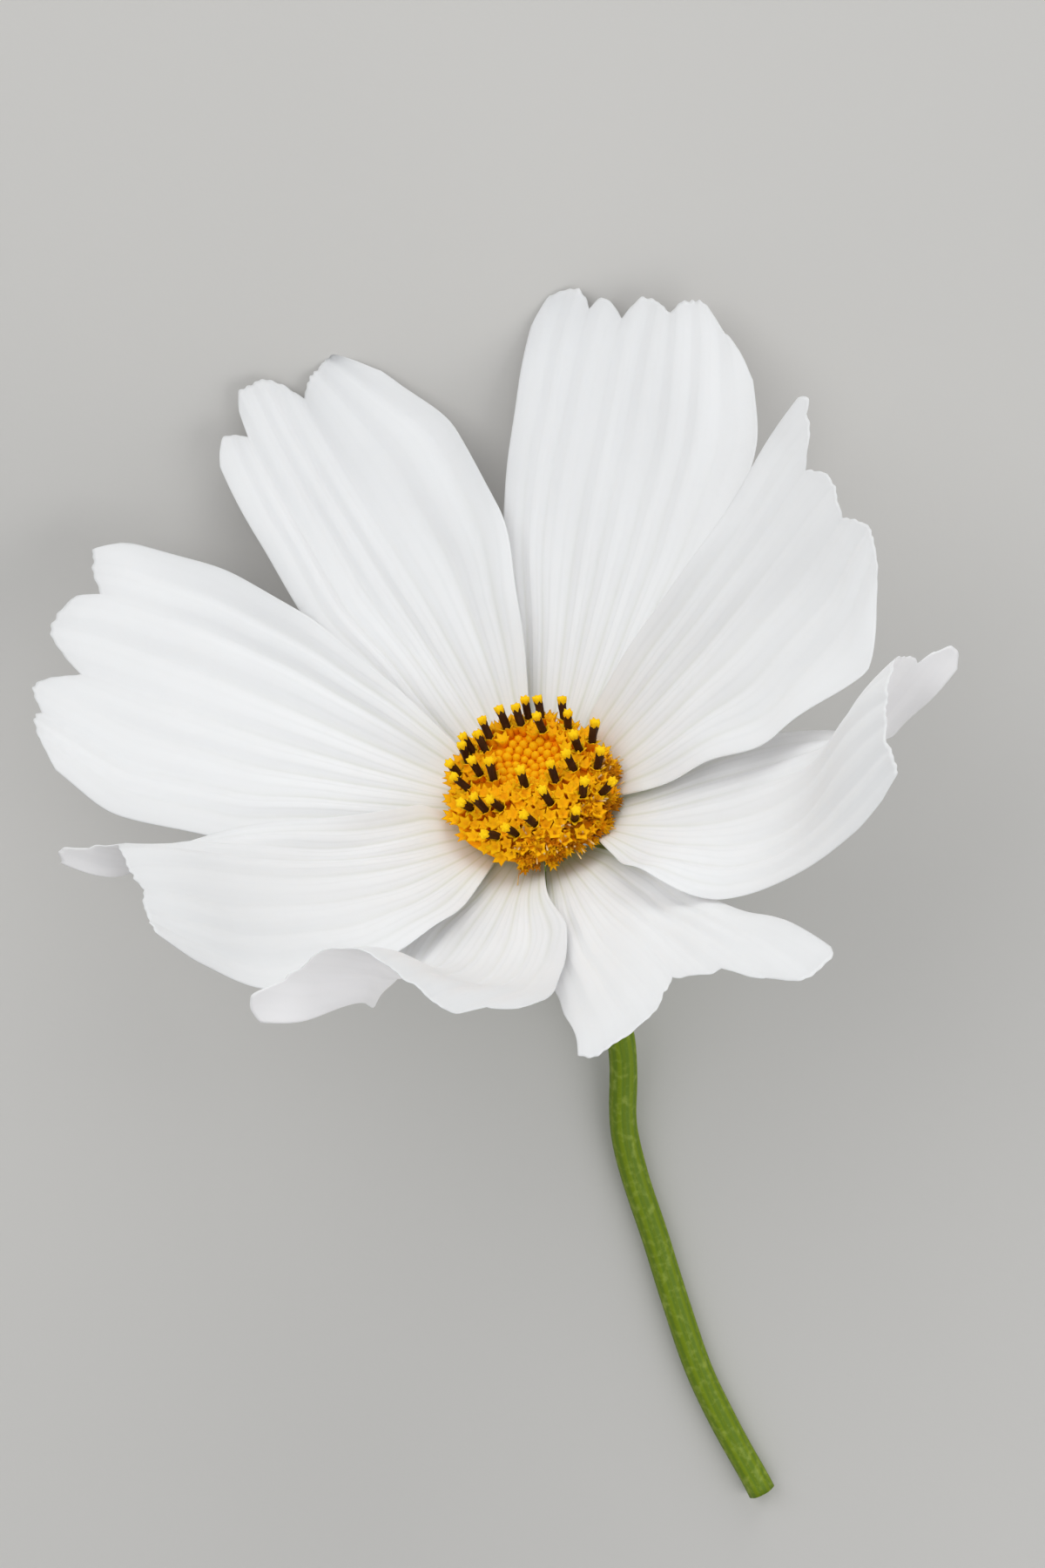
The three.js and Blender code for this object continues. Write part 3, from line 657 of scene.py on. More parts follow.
# Each floret tissue: the settings that hold its colours at the foot, at the tip and in the
# mottling, then its roughness, its grain in waves to the metre and its sheen.
FLORET_LOOKS = {
    "disc_ground": ("corolla_foot", "corolla_foot", "corolla", 0.8, 2600.0, 1.0),
    "closed_bud": ("bud", "bud_tip", "corolla", 0.6, 2600.0, 1.0),
    "corolla": ("corolla_foot", "corolla", "corolla_foot", 0.6, 2600.0, 1.0),
    "withered_floret": ("withered_foot", "withered", "corolla_foot", 0.75, 2600.0, 1.0),
    "withered_thread": ("withered", "thread", "withered", 0.7, 2600.0, 1.0),
    "floret_corolla": ("corolla_foot", "corolla", "pollen", 0.6, 2600.0, 1.0),
    "anther_tube": ("anther", "anther", "anther_fleck", 0.5, 2600.0, 0.0),
    "pollen_crown": ("corolla", "pollen", "corolla", 0.75, 5000.0, 1.0),
}

# Each green tissue: the colours of its streaks and flecks, its roughness and how close the
# streaks stand.
GREEN_LOOKS = {
    "stem_skin": ((0.10, 0.18, 0.008), (0.34, 0.42, 0.07), 0.5, 3.0),
    "stem_cut": ((0.34, 0.42, 0.12), (0.7, 0.7, 0.45), 0.6, 2.0),
    "cup_skin": ((0.10, 0.17, 0.02), (0.40, 0.44, 0.16), 0.55, 12.0),
    "inner_bract_skin": ((0.26, 0.24, 0.06), (0.6, 0.6, 0.32), 0.5, 3.5),
    "outer_bract_skin": ((0.06, 0.13, 0.02), (0.25, 0.36, 0.09), 0.55, 1.2),
}


def new_material(name):
    """A material with its node tree, and its shader."""
    material = bpy.data.materials.new(name)
    material.use_nodes = True
    return material, material.node_tree, material.node_tree.nodes["Principled BSDF"]


def set_inputs(tree, node, inputs):
    """A node's inputs set to numbers or colours, or linked to other nodes' outputs."""
    for key, value in inputs.items():
        if isinstance(value, bpy.types.NodeSocket):
            tree.links.new(value, node.inputs[key])
        else:
            node.inputs[key].default_value = value


def add_node(tree, kind, inputs=None, **settings):
    """A shader node with settings and inputs."""
    node = tree.nodes.new("ShaderNode" + kind)
    for key, value in settings.items():
        setattr(node, key, value)
    set_inputs(tree, node, inputs or {})
    return node


def growth_map(tree):
    """The piece's own UV, and the UV's height, which runs from foot to tip."""
    growth = add_node(tree, "UVMap", uv_map="growth").outputs["UV"]
    return growth, add_node(tree, "SeparateXYZ", {"Vector": growth}).outputs["Y"]


def ramp(tree, factor, stops):
    """A colour ramp through (place, grey or colour) stops."""
    node = add_node(tree, "ValToRGB", {"Fac": factor})
    elements = node.color_ramp.elements
    while len(elements) < len(stops):
        elements.new(0.5)
    for element, (place, value) in zip(elements, stops):
        element.position = place
        colour = (value, value, value) if isinstance(value, (int, float)) else tuple(value)
        element.color = (*colour[:3], 1)
    return node.outputs["Color"]


def blended(tree, factor, first, second, how="MIX"):
    """Two colours mixed by a factor."""
    node = add_node(tree, "Mix", data_type="RGBA", blend_type=how)
    set_inputs(tree, node, {0: factor, 6: first, 7: second})
    return node.outputs[2]


def product(tree, first, second):
    """Two values multiplied."""
    return add_node(tree, "Math", {0: first, 1: second}, operation="MULTIPLY").outputs[0]


def spread_ramp(tree, factor, middle, below, above):
    """Greys from a little below a middle value to a little above it, as a factor rises."""
    return ramp(tree, factor, [(0.3, middle - below), (0.7, middle + above)])


def object_noise(tree, scale, detail=3.0):
    """Noise that is fixed to the object, with that many waves to the metre."""
    place = add_node(tree, "TexCoord").outputs["Object"]
    noise = add_node(tree, "TexNoise", {"Vector": place, "Scale": scale, "Detail": detail})
    return noise.outputs[0]


def bump(tree, height, strength, distance, normal=None):
    """A bump from a height, on top of another bump if one is given."""
    inputs = {"Height": height, "Strength": strength, "Distance": distance}
    if normal is not None:
        inputs["Normal"] = normal
    return add_node(tree, "Bump", inputs).outputs["Normal"]


def bands(tree, vector, scale, distortion, detail_scale):
    """Waves along the first coordinate, bent by a noise."""
    inputs = {"Vector": vector, "Scale": scale, "Distortion": distortion, "Detail": 2.0,
              "Detail Scale": detail_scale}
    wave = add_node(tree, "TexWave", inputs, wave_type="BANDS", bands_direction="X")
    return wave.outputs["Fac"]


def fold_wave(tree, growth, repeats, distortion):
    """A wave with that many crests to each fold of a petal, least in the furrows."""
    stretched = add_node(tree, "Mapping", {"Vector": growth, "Scale": (1, 3, 1)}).outputs[0]
    return bands(tree, stretched, repeats * WAVE_TO_UNIT, distortion, 1.2)


def petal_material(name, ground, vein, furrow, base, roughness, vein_share):
    """Satin petal tissue: greenish furrows between the folds, which are also painted shade, and
    fine veins along the petal, which both fade outwards, a faint green tint at the base, slight
    clouding, painted shade that darkens the colour a little outwards, and a bump of veins and of
    the skin's fine cells."""
    material, tree, shader = new_material(name)
    growth, along = growth_map(tree)
    # Painted shade: the furrows between the folds are darkened with an olive colour near the base,
    # where the creases lie in shade; the green in it is the petal's own tint.
    furrows = ramp(tree, fold_wave(tree, growth, 1, 0.5), [(0.0, 1.0), (0.12, 0.4), (0.4, 0.0)])
    furrows = product(tree, furrows, ramp(tree, along, FURROW_FADING))
    lines = ramp(tree, fold_wave(tree, growth, 3, 1.6), [(0.0, 1.0), (0.28, 0.25), (0.6, 0.0)])
    lines = product(tree, lines, ramp(tree, along, VEIN_FADING))
    patches = ramp(tree, object_noise(tree, 160.0), [(0.3, 0.55), (0.7, 1.0)])
    strength = product(tree, lines, patches)
    colour = blended(tree, product(tree, strength, vein_share), ground, vein)
    colour = blended(tree, furrows, colour, furrow)
    foot = ramp(tree, along, [(0.0, 0.7), (0.08, 0.18), (0.2, 0.0)])
    colour = blended(tree, foot, colour, base)
    clouds = ramp(tree, object_noise(tree, 90.0, 4.0), [(0.3, 0.975), (0.7, 1.0)])
    colour = blended(tree, 1.0, colour, clouds, "MULTIPLY")
    # Painted shade: the colour is darkened a little towards the petal's tip.
    colour = blended(tree, 1.0, colour, ramp(tree, along, OUTWARD_PAINTED_SHADE), "MULTIPLY")
    skin = object_noise(tree, 5200.0, 2.0)
    relief = bump(tree, lines, 0.3, 0.0001)
    set_inputs(tree, shader, {
        "Base Color": colour,
        "Roughness": spread_ramp(tree, skin, roughness, 0.06, 0.08),
        "Normal": bump(tree, skin, 0.12, 0.00005, relief),
        "Subsurface Weight": 0.5,
        "Subsurface Radius": (1.0, 0.95, 0.9),
        "Subsurface Scale": 0.0009,
        "Sheen Weight": 0.12,
        "Sheen Roughness": 0.5,
        "Specular IOR Level": 0.3})
    return material


def floret_material(name, colours):
    """Floret tissue whose colour runs from foot to tip, mottled by noise, with a grainy bump and
    the sheen of its fine down."""
    *names, roughness, grain, sheen = FLORET_LOOKS[name]
    low, high, shade = (getattr(colours, setting) for setting in names)
    material, tree, shader = new_material(name)
    colour = ramp(tree, growth_map(tree)[1], [(0.15, low), (0.75, high)])
    mottle = ramp(tree, object_noise(tree, 900.0), [(0.35, 0.0), (0.7, 0.6)])
    specks = object_noise(tree, grain, 4.0)
    set_inputs(tree, shader, {
        "Base Color": blended(tree, mottle, colour, shade),
        "Roughness": spread_ramp(tree, specks, roughness, 0.1, 0.1),
        "Normal": bump(tree, specks, 0.25, 0.0001),
        "Sheen Weight": sheen,
        "Sheen Roughness": 0.3,
        "Sheen Tint": (1.0, 0.45, 0.01, 1.0),
        "Specular IOR Level": 0.08})
    return material


def green_material(name, ground):
    """Green tissue with lengthwise streaks, pale flecks and a bump that follows both."""
    dark, light, roughness, streaks = GREEN_LOOKS[name]
    material, tree, shader = new_material(name)
    waves = bands(tree, growth_map(tree)[0], streaks, 2.0, 1.0)
    streak = ramp(tree, waves, [(0.2, 0.7), (0.7, 0.0)])
    colour = blended(tree, streak, ground, (*dark, 1))
    flecks = ramp(tree, object_noise(tree, 1400.0, 4.0), [(0.5, 0.0), (0.75, 0.6)])
    fine = object_noise(tree, 3500.0, 3.0)
    relief = bump(tree, waves, 0.3, 0.00012)
    set_inputs(tree, shader, {
        "Base Color": blended(tree, flecks, colour, (*light, 1)),
        "Roughness": spread_ramp(tree, fine, roughness, 0.08, 0.1),
        "Normal": bump(tree, fine, 0.25, 0.00006, relief),
        "Specular IOR Level": 0.22})
    return material


def floor_material(colour):
    """Matt pale paper, with the faintest clouding and tooth."""
    material, tree, shader = new_material("floor_paper")
    clouds = ramp(tree, object_noise(tree, 12.0), [(0.3, 0.985), (0.7, 1.0)])
    tooth = object_noise(tree, 1500.0, 4.0)
    set_inputs(tree, shader, {
        "Base Color": blended(tree, 1.0, colour, clouds, "MULTIPLY"),
        "Normal": bump(tree, tooth, 0.1, 0.0001),
        "Roughness": 0.9,
        "Specular IOR Level": 0.15})
    return material


# ---- settings -----------------------------------------------------------------------------


def colour_property(name, description, default):
    """A colour that a user may change."""
    return bpy.props.FloatVectorProperty(name=name, description=description, size=4, min=0, max=1,
                                         subtype="COLOR", default=(*default, 1.0))


def length_property(name, description, default):
    """A length in metres that a user may change."""
    return bpy.props.FloatProperty(name=name, description=description, default=default, min=0,
                                   max=0.1, precision=5, unit="LENGTH", subtype="DISTANCE")


def power_property(name, description, default):
    """A light's power in watts that a user may change."""
    return bpy.props.FloatProperty(name=name, description=description, default=default, min=0,
                                   unit="POWER")


class CosmosSizes(bpy.types.PropertyGroup):
    """Sizes of the flower's relief and of its small parts."""

    petal_thickness: length_property("Petal Thickness", "Thickness of a petal's middle", 0.00024)
    fold_depth: length_property("Fold Depth", "Height of the long folds of a petal", 0.00029)
    rib_depth: length_property("Rib Depth", "Height of the fine ribs on the folds", 0.000004)
    margin_wave: length_property("Margin Wave", "Height of the waves at a petal's margin", 0.0003)
    stem_radius: length_property("Stem Radius", "Radius of the stem", 0.00115)
    floret_scale: bpy.props.FloatProperty(
        name="Floret Scale", description="Width of the open florets against the usual one",
        default=1.0, min=0.5, max=1.5, subtype="FACTOR")


class CosmosColours(bpy.types.PropertyGroup):
    """Colours of the flower's parts."""

    petal: colour_property("Petal", "Upper side of the petals", (0.895, 0.90, 0.905))
    # Painted light: the underside is made paler than the face, to lift the shade that the
    # curled-back tips lie in.
    petal_back: colour_property("Petal Back", "Underside of the petals", (0.96, 0.94, 0.95))
    vein: colour_property("Vein", "Veins of the petals", (0.42, 0.44, 0.40))
    # Furrow: a green tint of the petal's base that is also painted shade, darker than the petal in
    # the creases between the folds.
    furrow: colour_property("Furrow", "Furrows between the folds near a petal's base",
                            (0.58, 0.60, 0.44))
    petal_base: colour_property("Petal Base", "Tint at a petal's base", (0.66, 0.70, 0.42))
    corolla: colour_property("Corolla", "Lobes of the disc florets", (1.0, 0.54, 0.002))
    corolla_foot: colour_property("Corolla Foot", "Tubes of the disc florets", (1.0, 0.35, 0.001))
    bud: colour_property("Bud", "Closed buds of the disc", (1.0, 0.41, 0.001))
    bud_tip: colour_property("Bud Tip", "Tips of the closed buds", (0.92, 0.43, 0.002))
    anther: colour_property("Anther", "Tubes of the anthers", (0.04, 0.013, 0.004))
    anther_fleck: colour_property("Anther Fleck", "Flecks on the anthers", (0.09, 0.035, 0.012))
    pollen: colour_property("Pollen", "Crowns of the open florets", (1.0, 0.66, 0.008))
    withered_foot: colour_property("Withered Foot", "Feet of the withered florets",
                                   (0.16, 0.045, 0.004))
    withered: colour_property("Withered", "Withered florets at the rim", (0.60, 0.21, 0.004))
    thread: colour_property("Thread", "Pale threads between the withered florets",
                            (0.80, 0.58, 0.26))
    cup: colour_property("Cup", "Receptacle", (0.20, 0.28, 0.05))
    stem: colour_property("Stem", "Skin of the stem", (0.165, 0.24, 0.003))
    stem_cut: colour_property("Stem Cut", "Cut end of the stem", (0.52, 0.56, 0.26))
    inner_bract: colour_property("Inner Bract", "Thin inner bracts", (0.40, 0.41, 0.13))
    outer_bract: colour_property("Outer Bract", "Narrow outer bracts", (0.12, 0.22, 0.035))


class CosmosStage(bpy.types.PropertyGroup):
    """The floor and the light."""

    floor: colour_property("Floor", "Colour of the floor", (0.57, 0.56, 0.54))
    key_power: power_property("Key Power", "Power of the large key light", 2.7)
    front_power: power_property("Front Power", "Power of the low light before the bloom", 2.5)
    fill_power: power_property("Fill Power", "Power of the fill light", 2.35)
    sky: colour_property("Sky", "Colour of the even light from all sides", (0.96, 0.98, 1.0))
    sky_strength: bpy.props.FloatProperty(
        name="Sky Strength", description="Strength of the even light from all sides",
        default=0.46, min=0)


# ---- operators ----------------------------------------------------------------------------

# The camera leans from straight down, and looks at a place shifted from the bloom's by so much to
# the right and up in its picture. The camera's lengths and the floor's are in mm.
CAMERA_LEAN = 10.0
CAMERA_DISTANCE = 440
CAMERA_SHIFT = (-1.19, 2.09)
CAMERA_LENS = 126.2
SENSOR_WIDTH = 36
FLOOR_HALF = 1500.0

# The lights' places and sizes in metres.
LIGHTS = [("key", (-0.45, 0.4, 0.7), 0.7), ("front", (0.1, 0.75, 0.32), 0.6),
          ("fill", (0.55, -0.25, 0.6), 0.6)]


class CosmosOperator:
    """What every maker of a piece shares."""

    bl_options = {"REGISTER", "UNDO"}


class OBJECT_OT_cosmos_stage(CosmosOperator, bpy.types.Operator):
    """Makes the floor, the soft light and the camera that looks down on the flower"""

    bl_idname = "object.cosmos_stage"
    bl_label = "Floor, Light and Camera"

    def execute(self, context):
        stage = context.scene.cosmos_stage
        square = np.array([[-1, -1], [1, -1], [1, 1], [-1, 1]])
        corners = np.concatenate([FLOOR_HALF * square, np.zeros((4, 1))], axis=1)
        floor = make_piece("floor", corners, [np.array([[0, 1, 2, 3]])], square,
                           [floor_material(stage.floor)])
        for name, place, size in LIGHTS:
            self.add_area(context, name, place, size, getattr(stage, name + "_power"))
        world = bpy.data.worlds.new("soft_sky")
        world.use_nodes = True
        background = world.node_tree.nodes["Background"]
        background.inputs["Color"].default_value = stage.sky
        background.inputs["Strength"].default_value = stage.sky_strength
        context.scene.world = world
        context.scene.view_settings.view_transform = "Standard"
        self.add_camera(context)
        return {"FINISHED"}

    def add_area(self, context, name, place, size, power):
        """A square area light that looks at the bloom."""
        light = bpy.data.lights.new(name, "AREA")
        light.size = size
        light.energy = power
        lamp = bpy.data.objects.new(name, light)
        lamp.location = place
        aim = Vector(HEAD_POSITION * MM) - Vector(place)
        lamp.rotation_mode = "QUATERNION"
        lamp.rotation_quaternion = aim.to_track_quat("-Z", "Y")
        context.scene.collection.objects.link(lamp)

    def add_camera(self, context):
        """The camera above the bloom, whose picture has the stem's end below."""
        lean = np.radians(CAMERA_LEAN)
        right = np.array([1.0, 0.0, 0.0])
        up = np.array([0.0, np.cos(lean), -np.sin(lean)])
        back = np.array([0.0, np.sin(lean), np.cos(lean)])
        place = HEAD_POSITION + CAMERA_DISTANCE * back
        place = place + CAMERA_SHIFT[0] * right + CAMERA_SHIFT[1] * up
        data = bpy.data.cameras.new("camera")
        data.sensor_width = SENSOR_WIDTH
        data.lens = CAMERA_LENS
        camera = bpy.data.objects.new("camera", data)
        turn = Matrix([[*row] for row in np.stack([right, up, back], axis=1)]).to_4x4()
        camera.matrix_world = Matrix.Translation(Vector(place * MM)) @ turn
        context.scene.collection.objects.link(camera)
        context.scene.camera = camera


class OBJECT_OT_cosmos_petals(CosmosOperator, bpy.types.Operator):
    """Makes the eight petals"""

    bl_idname = "object.cosmos_petals"
    bl_label = "Petals"

    def execute(self, context):
        colours = context.scene.cosmos_colours
        face = petal_material("petal_face", colours.petal, colours.vein, colours.furrow,
                              colours.petal_base, 0.5, 0.3)
        # The underside's paler colour is painted light that lifts the shade on the curled-back
        # tips.
        back = petal_material("petal_back", colours.petal_back, colours.vein, colours.furrow,
                              colours.petal_base, 0.55, 0.4)
        for number, petal in enumerate(PETALS, 1):
            points, faces, uv, sides = petal_mesh(petal, number, context.scene.cosmos_sizes)
            piece = make_piece(f"petal_{number}_sheet", points, faces, uv, [face, back], sides)
            finish_piece(piece, "petal", f"petal_{number}")
        return {"FINISHED"}


class OBJECT_OT_cosmos_disc(CosmosOperator, bpy.types.Operator):
    """Makes the disc's ground, its closed buds, its open corollas and its withered florets"""

    bl_idname = "object.cosmos_disc"
    bl_label = "Disc"

    def execute(self, context):
        ground, bud, corolla, withered, thread = (
            floret_material(name, context.scene.cosmos_colours)
            for name in ("disc_ground", "closed_bud", "corolla", "withered_floret",
                         "withered_thread"))
        bloom_piece("disc_mound", mound_mesh(), [ground], "disc", "disc")

        draws = np.random.default_rng(21)
        open_r, open_azimuth = np.array(FLORETS, float).T[:2]
        # Each kind's name, shape, spacing, material, width and height.
        for name, rings, pace, material, wide, tall in (
                ("closed_buds", BUD_RINGS, 0.37, bud, 0.76, 0.6),
                ("open_corollas", COROLLA_RINGS, 0.46, corolla, 1.12, 1.0)):
            r, azimuth = seed_spiral(pace)
            spin, size, tilt = draws.uniform(0, 1, (3, len(r)))
            free = apart(r[:, None], azimuth[:, None], open_r, open_azimuth).min(1) > OPEN_GAP
            closed = apart(r, azimuth, HOLLOW_R, HOLLOW_AZIMUTH) < BUDS_REACH
            past_edge = np.maximum(r - EDGE_R, 0)
            foot_r = r - past_edge
            foot_z = dome_height(foot_r, azimuth) - SUNK - EDGE_FALL * past_edge
            lean = floret_lean(r) + LEAN_SPREAD * (tilt - 0.5) + EDGE_LEAN * past_edge
            old = withered_share(r, azimuth) > size
            chosen = free & (closed if name == "closed_buds" else ~closed & ~old)
            wide = wide * (0.9 + 0.25 * size)
            tall = tall * (0.9 + 0.3 * tilt)
            values = [foot_r, azimuth, foot_z, lean, 2 * np.pi * spin, wide, tall]
            copies = on_disc(lobed_tube(rings, 10), *(value[chosen] for value in values))
            bloom_piece(name, copies, [material], "disc", "disc")

        *values, faded = draws.uniform(0, 1, (6, WITHERED_COUNT))
        shape = lobed_tube(WITHERED_RINGS, 10)
        yellow = np.concatenate([np.repeat(faded > 0.55, len(group)) for group in shape[1]])
        copies = self.on_rim(shape, values, 60, (0.75, 0.5), (0.6, 0.5))
        bloom_piece("withered_florets", copies, [withered, corolla], "disc", "disc", yellow)

        values = draws.uniform(0, 1, (5, THREAD_COUNT))
        copies = self.on_rim(lobed_tube(THREAD_RINGS, 5), values, 110, (0.8, 0.4), (0.9, 0.6))
        bloom_piece("withered_threads", copies, [thread], "disc", "disc")
        return {"FINISHED"}

    def on_rim(self, shape, values, lean_spread, wide, tall):
        """Copies of a shape on the withered side of the rim, from values between 0 and 1: depth
        runs outwards over the dome and then down its side, and wide and tall are the least scale
        and what size and tilt add to it."""
        spin, size, tilt, place, depth = values
        azimuth = WITHERED_AZIMUTH + WITHERED_ARC * (2 * place - 1)
        r = np.minimum(RIM_FROM_R + RIM_REACH * depth, RIM_MOST_R)
        drop = RIM_DROP * np.maximum(depth - RIM_DROP_FROM, 0)
        height = dome_height(r, azimuth) - drop - SUNK
        lean = RIM_LEANS[0] + (RIM_LEANS[1] - RIM_LEANS[0]) * depth + lean_spread * (tilt - 0.5)
        return on_disc(shape, r, azimuth, height, lean, 2 * np.pi * spin,
                       wide[0] + wide[1] * size, tall[0] + tall[1] * tilt)


class OBJECT_OT_cosmos_florets(CosmosOperator, bpy.types.Operator):
    """Makes the open florets, each with its corolla, its anther tube and its crown of pollen"""

    bl_idname = "object.cosmos_florets"
    bl_label = "Open Florets"

    def execute(self, context):
        scale = context.scene.cosmos_sizes.floret_scale
        skins = [floret_material(name, context.scene.cosmos_colours)
                 for name in ("floret_corolla", "anther_tube", "pollen_crown")]
        shapes = [lobed_tube(rings, FLORET_SEGMENTS)
                  for rings in (FINE_COROLLA_RINGS, ANTHER_RINGS, CROWN_RINGS)]
        draws = np.random.default_rng(8)
        for number, (r, azimuth, lean, towards) in enumerate(FLORETS, 1):
            spin, wide, tall = draws.uniform(0, 1, 3)
            foot_z = dome_height(r, azimuth) + FLORET_LIFT
            parts = []
            for shape, turn in zip(shapes, PART_TURNS):
                parts.append(on_disc(shape, r, azimuth, foot_z, lean, 2 * np.pi * spin + turn,
                                     scale * (0.92 + 0.12 * wide), 0.95 + 0.12 * tall, towards))
            points, faces, uv, part = joined(parts)
            place = points / FLORET_WAVE_REACH
            wave = np.sin(7 * place[:, [1, 2, 0]] + 3 * place[:, [2, 0, 1]])
            name = f"floret_{number:02d}"
            bloom_piece(name + "_open", (points + FLORET_UNEVENNESS * wave, faces, uv),
                        skins, "floret", name, part)
        return {"FINISHED"}


# The stem leaves the cup along the bloom's axis, bends down and lies on the floor. Its first knot
# is a gap below the neck and its second a start further down the axis.
STEM_ROUTE = [(10, -5.5, 6.2), (11.6, -12, 3), (11.9, -20, 1.4), (14.7, -29.5, 1), (18.5, -41, 1),
              (23.6, -51, 1)]
STEM_GAP = 0.3
STEM_START = 3.0
STEM_SEGMENTS = 36
STEM_RIBS = 6
STEM_RIB_DEPTH = 0.05
STEM_UNEVENNESS = 0.015


def through_points(knots, spans=14):
    """A centripetal Catmull-Rom curve: on each span a cubic whose end slopes come from the knots
    beside it, with knots spaced by the root of their distance."""
    first = 2 * knots[0] - knots[1]
    last = 2 * knots[-1] - knots[-2]
    knots = np.concatenate([[first], knots, [last]])
    gap = np.sqrt(np.linalg.norm(np.diff(knots, axis=0), axis=1))[:, None]
    chord = np.diff(knots, axis=0) / gap
    slope = (chord[:-1] - (knots[2:] - knots[:-2]) / (gap[:-1] + gap[1:]) + chord[1:])
    t = (np.arange(spans) / spans)[None, :, None]
    start, end = knots[1:-2, None], knots[2:-1, None]
    reach = gap[1:-1, None]
    rise, fall = slope[:-1, None] * reach, slope[1:, None] * reach
    line = (start * (1 + 2 * t) * (1 - t) ** 2 + end * t * t * (3 - 2 * t)
            + rise * t * (1 - t) ** 2 - fall * t * t * (1 - t))
    return np.concatenate([line.reshape(-1, 3), knots[-2:-1]])


class OBJECT_OT_cosmos_stem(CosmosOperator, bpy.types.Operator):
    """Makes the grooved stem, whose cut end is pale"""

    bl_idname = "object.cosmos_stem"
    bl_label = "Stem"

    def execute(self, context):
        skin = green_material("stem_skin", context.scene.cosmos_colours.stem)
        cut = green_material("stem_cut", context.scene.cosmos_colours.stem_cut)
        start = NECK_Z - STEM_GAP
        head = head_to_world(np.array([[0, 0, start], [0, 0, start - STEM_START]]))
        line = through_points(np.concatenate([head, np.array(STEM_ROUTE, float)]))
        along = np.linspace(0, 1, len(line))[:, None]
        around = np.linspace(0, 1, STEM_SEGMENTS, endpoint=False)[None, :]
        ridge = 0.96 + STEM_RIB_DEPTH * np.abs(np.sin(np.pi * STEM_RIBS * around))
        ridge = ridge + STEM_UNEVENNESS * ripple(along, around, 8, 2, 77)
        points, faces, uv = swept_tube(line, context.scene.cosmos_sizes.stem_radius / MM * ridge)
        piece = make_piece("stem_skin", above_floor(points), faces, uv, [skin, cut],
                           np.repeat([0, 1], [len(faces[0]), len(faces[1])]))
        finish_piece(piece, "stem", "stem")
        return {"FINISHED"}


# The receptacle's radius at parts of its height, from the neck up.
CUP_STATIONS = [0, 0.12, 0.3, 0.5, 0.65, 0.95, 1]
CUP_RADII = [1.15, 1.3, 2.0, 3.4, 4.3, 4.5, 4.2]
CUP_ROWS = 40
CUP_SEGMENTS = 96
CUP_RIBS = 16
CUP_RIB_DEPTH = 0.12


class OBJECT_OT_cosmos_cup(CosmosOperator, bpy.types.Operator):
    """Makes the green receptacle that carries petals, bracts and florets"""

    bl_idname = "object.cosmos_cup"
    bl_label = "Receptacle"

    def execute(self, context):
        skin = green_material("cup_skin", context.scene.cosmos_colours.cup)
        reach = smooth_curve(CUP_STATIONS, CUP_RADII)
        share = np.linspace(0, 1, CUP_ROWS)
        height = NECK_Z + (RECEPTACLE_TOP - NECK_Z) * share
        lobes = CUP_RIB_DEPTH * np.sin(np.pi * share)
        rings = [(0, 0, NECK_Z, 0), *zip(reach(share), lobes, height, 0 * share),
                 (0, 0, RECEPTACLE_TOP, 0)]
        cup = lobed_tube(rings, CUP_SEGMENTS, CUP_RIBS)
        bloom_piece("receptacle_cup", cup, [skin], "cup", "receptacle")
        return {"FINISHED"}


BRACT_COUNT = 8
BRACT_THINNING = 0.7
INNER_BRACT = {"turn": 5, "length": 10, "half_width": 2.6, "base": -1.9, "thickness": 0.3,
               "rise": 22, "bend": 30, "wave": 0.15}
OUTER_BRACT = {"turn": 27, "length": 9, "half_width": 1.1, "base": -3.0, "thickness": 0.45,
               "rise": -4, "bend": 25, "wave": 0.1}


def bract_sheet(number, seed, turn, length, half_width, base, thickness, rise, bend, wave):
    """A pointed leaf-shaped sheet: its half width is the full one times 0.6 + 1.25 t - 1.75 t
    squared, each half rolls up as an arc, a ripple waves its margins, and it thins outwards. The
    first bract stands at azimuth turn."""
    azimuth = turn + (number - 1) * 360 / BRACT_COUNT
    t = np.linspace(0, 1, 41)[:, None]
    v = np.linspace(-1, 1, 25)[None, :]
    width = half_width * (0.6 + 1.25 * t - 1.75 * t * t)
    arc = np.radians(bend) * v
    climb = np.radians(rise)
    out = PETAL_RING_R + length * t * np.cos(climb)
    height = base + length * t * np.sin(climb) + width * (1 - np.cos(arc))
    height = height + wave * v * v * ripple(v, t, 0.5, 1.5, seed) * smoothstep(t, 0, 0.4)
    across = width * np.sin(arc) / np.radians(bend)
    middle = turned(stacked(across, out, height), azimuth)
    thin = thickness * (1 - BRACT_THINNING * np.maximum(np.abs(v) ** 4, t ** 8))
    return thick_sheet(middle, thin, stacked(0.5 + v / 2, t))


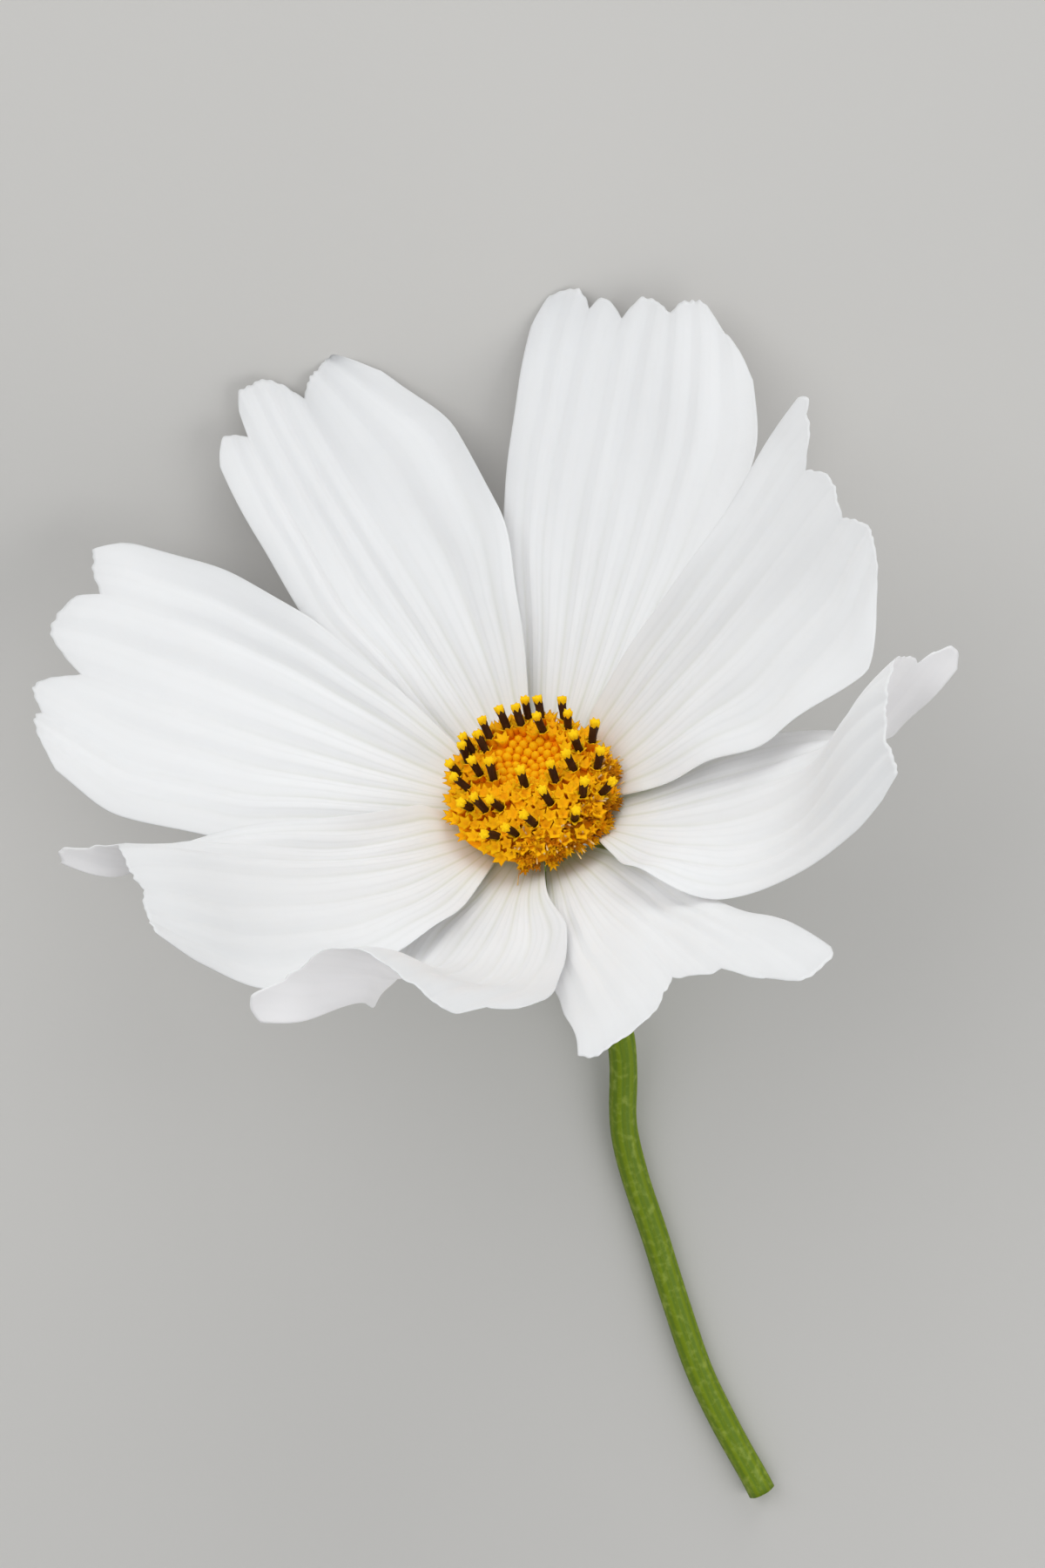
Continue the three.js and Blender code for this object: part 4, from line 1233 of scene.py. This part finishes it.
class OBJECT_OT_cosmos_bracts(CosmosOperator, bpy.types.Operator):
    """Makes the thin inner bracts and the narrow outer ones behind the petals"""

    bl_idname = "object.cosmos_bracts"
    bl_label = "Bracts"

    def execute(self, context):
        colours = context.scene.cosmos_colours
        skins = {"inner_bract": green_material("inner_bract_skin", colours.inner_bract),
                 "outer_bract": green_material("outer_bract_skin", colours.outer_bract)}
        for number in range(1, BRACT_COUNT + 1):
            for kind, seed, sizes in (("inner_bract", number, INNER_BRACT),
                                      ("outer_bract", number + 20, OUTER_BRACT)):
                node = f"{kind}_{number}"
                sheet = bract_sheet(number, seed, **sizes)
                bloom_piece(node + "_sheet", sheet, [skins[kind]], kind, node)
        return {"FINISHED"}


class VIEW3D_PT_cosmos(bpy.types.Panel):
    """The flower's makers and settings in the sidebar"""

    bl_idname = "VIEW3D_PT_cosmos"
    bl_label = "Cosmos Flower"
    bl_space_type = "VIEW_3D"
    bl_region_type = "UI"
    bl_category = "Cosmos"

    def draw(self, context):
        for maker in MAKERS:
            self.layout.operator(maker.bl_idname)
        for settings in (context.scene.cosmos_sizes, context.scene.cosmos_colours,
                         context.scene.cosmos_stage):
            box = self.layout.box()
            for name in settings.__annotations__:
                box.prop(settings, name)


MAKERS = [OBJECT_OT_cosmos_stage, OBJECT_OT_cosmos_petals, OBJECT_OT_cosmos_disc,
          OBJECT_OT_cosmos_florets, OBJECT_OT_cosmos_cup, OBJECT_OT_cosmos_bracts,
          OBJECT_OT_cosmos_stem]
CLASSES = [CosmosSizes, CosmosColours, CosmosStage, *MAKERS, VIEW3D_PT_cosmos]


def register():
    """Registers the classes and hangs the settings on the scene."""
    for cls in CLASSES:
        bpy.utils.register_class(cls)
    bpy.types.Scene.cosmos_sizes = bpy.props.PointerProperty(type=CosmosSizes)
    bpy.types.Scene.cosmos_colours = bpy.props.PointerProperty(type=CosmosColours)
    bpy.types.Scene.cosmos_stage = bpy.props.PointerProperty(type=CosmosStage)


def unregister():
    """Takes the settings and the classes away."""
    del bpy.types.Scene.cosmos_sizes
    del bpy.types.Scene.cosmos_colours
    del bpy.types.Scene.cosmos_stage
    for cls in reversed(CLASSES):
        bpy.utils.unregister_class(cls)


def main():
    """Registers the add-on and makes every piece."""
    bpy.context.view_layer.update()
    register()
    bpy.ops.object.cosmos_stage()
    bpy.ops.object.cosmos_petals()
    bpy.ops.object.cosmos_disc()
    bpy.ops.object.cosmos_florets()
    bpy.ops.object.cosmos_cup()
    bpy.ops.object.cosmos_bracts()
    bpy.ops.object.cosmos_stem()
    bpy.context.view_layer.update()


if __name__ == "__main__":
    main()
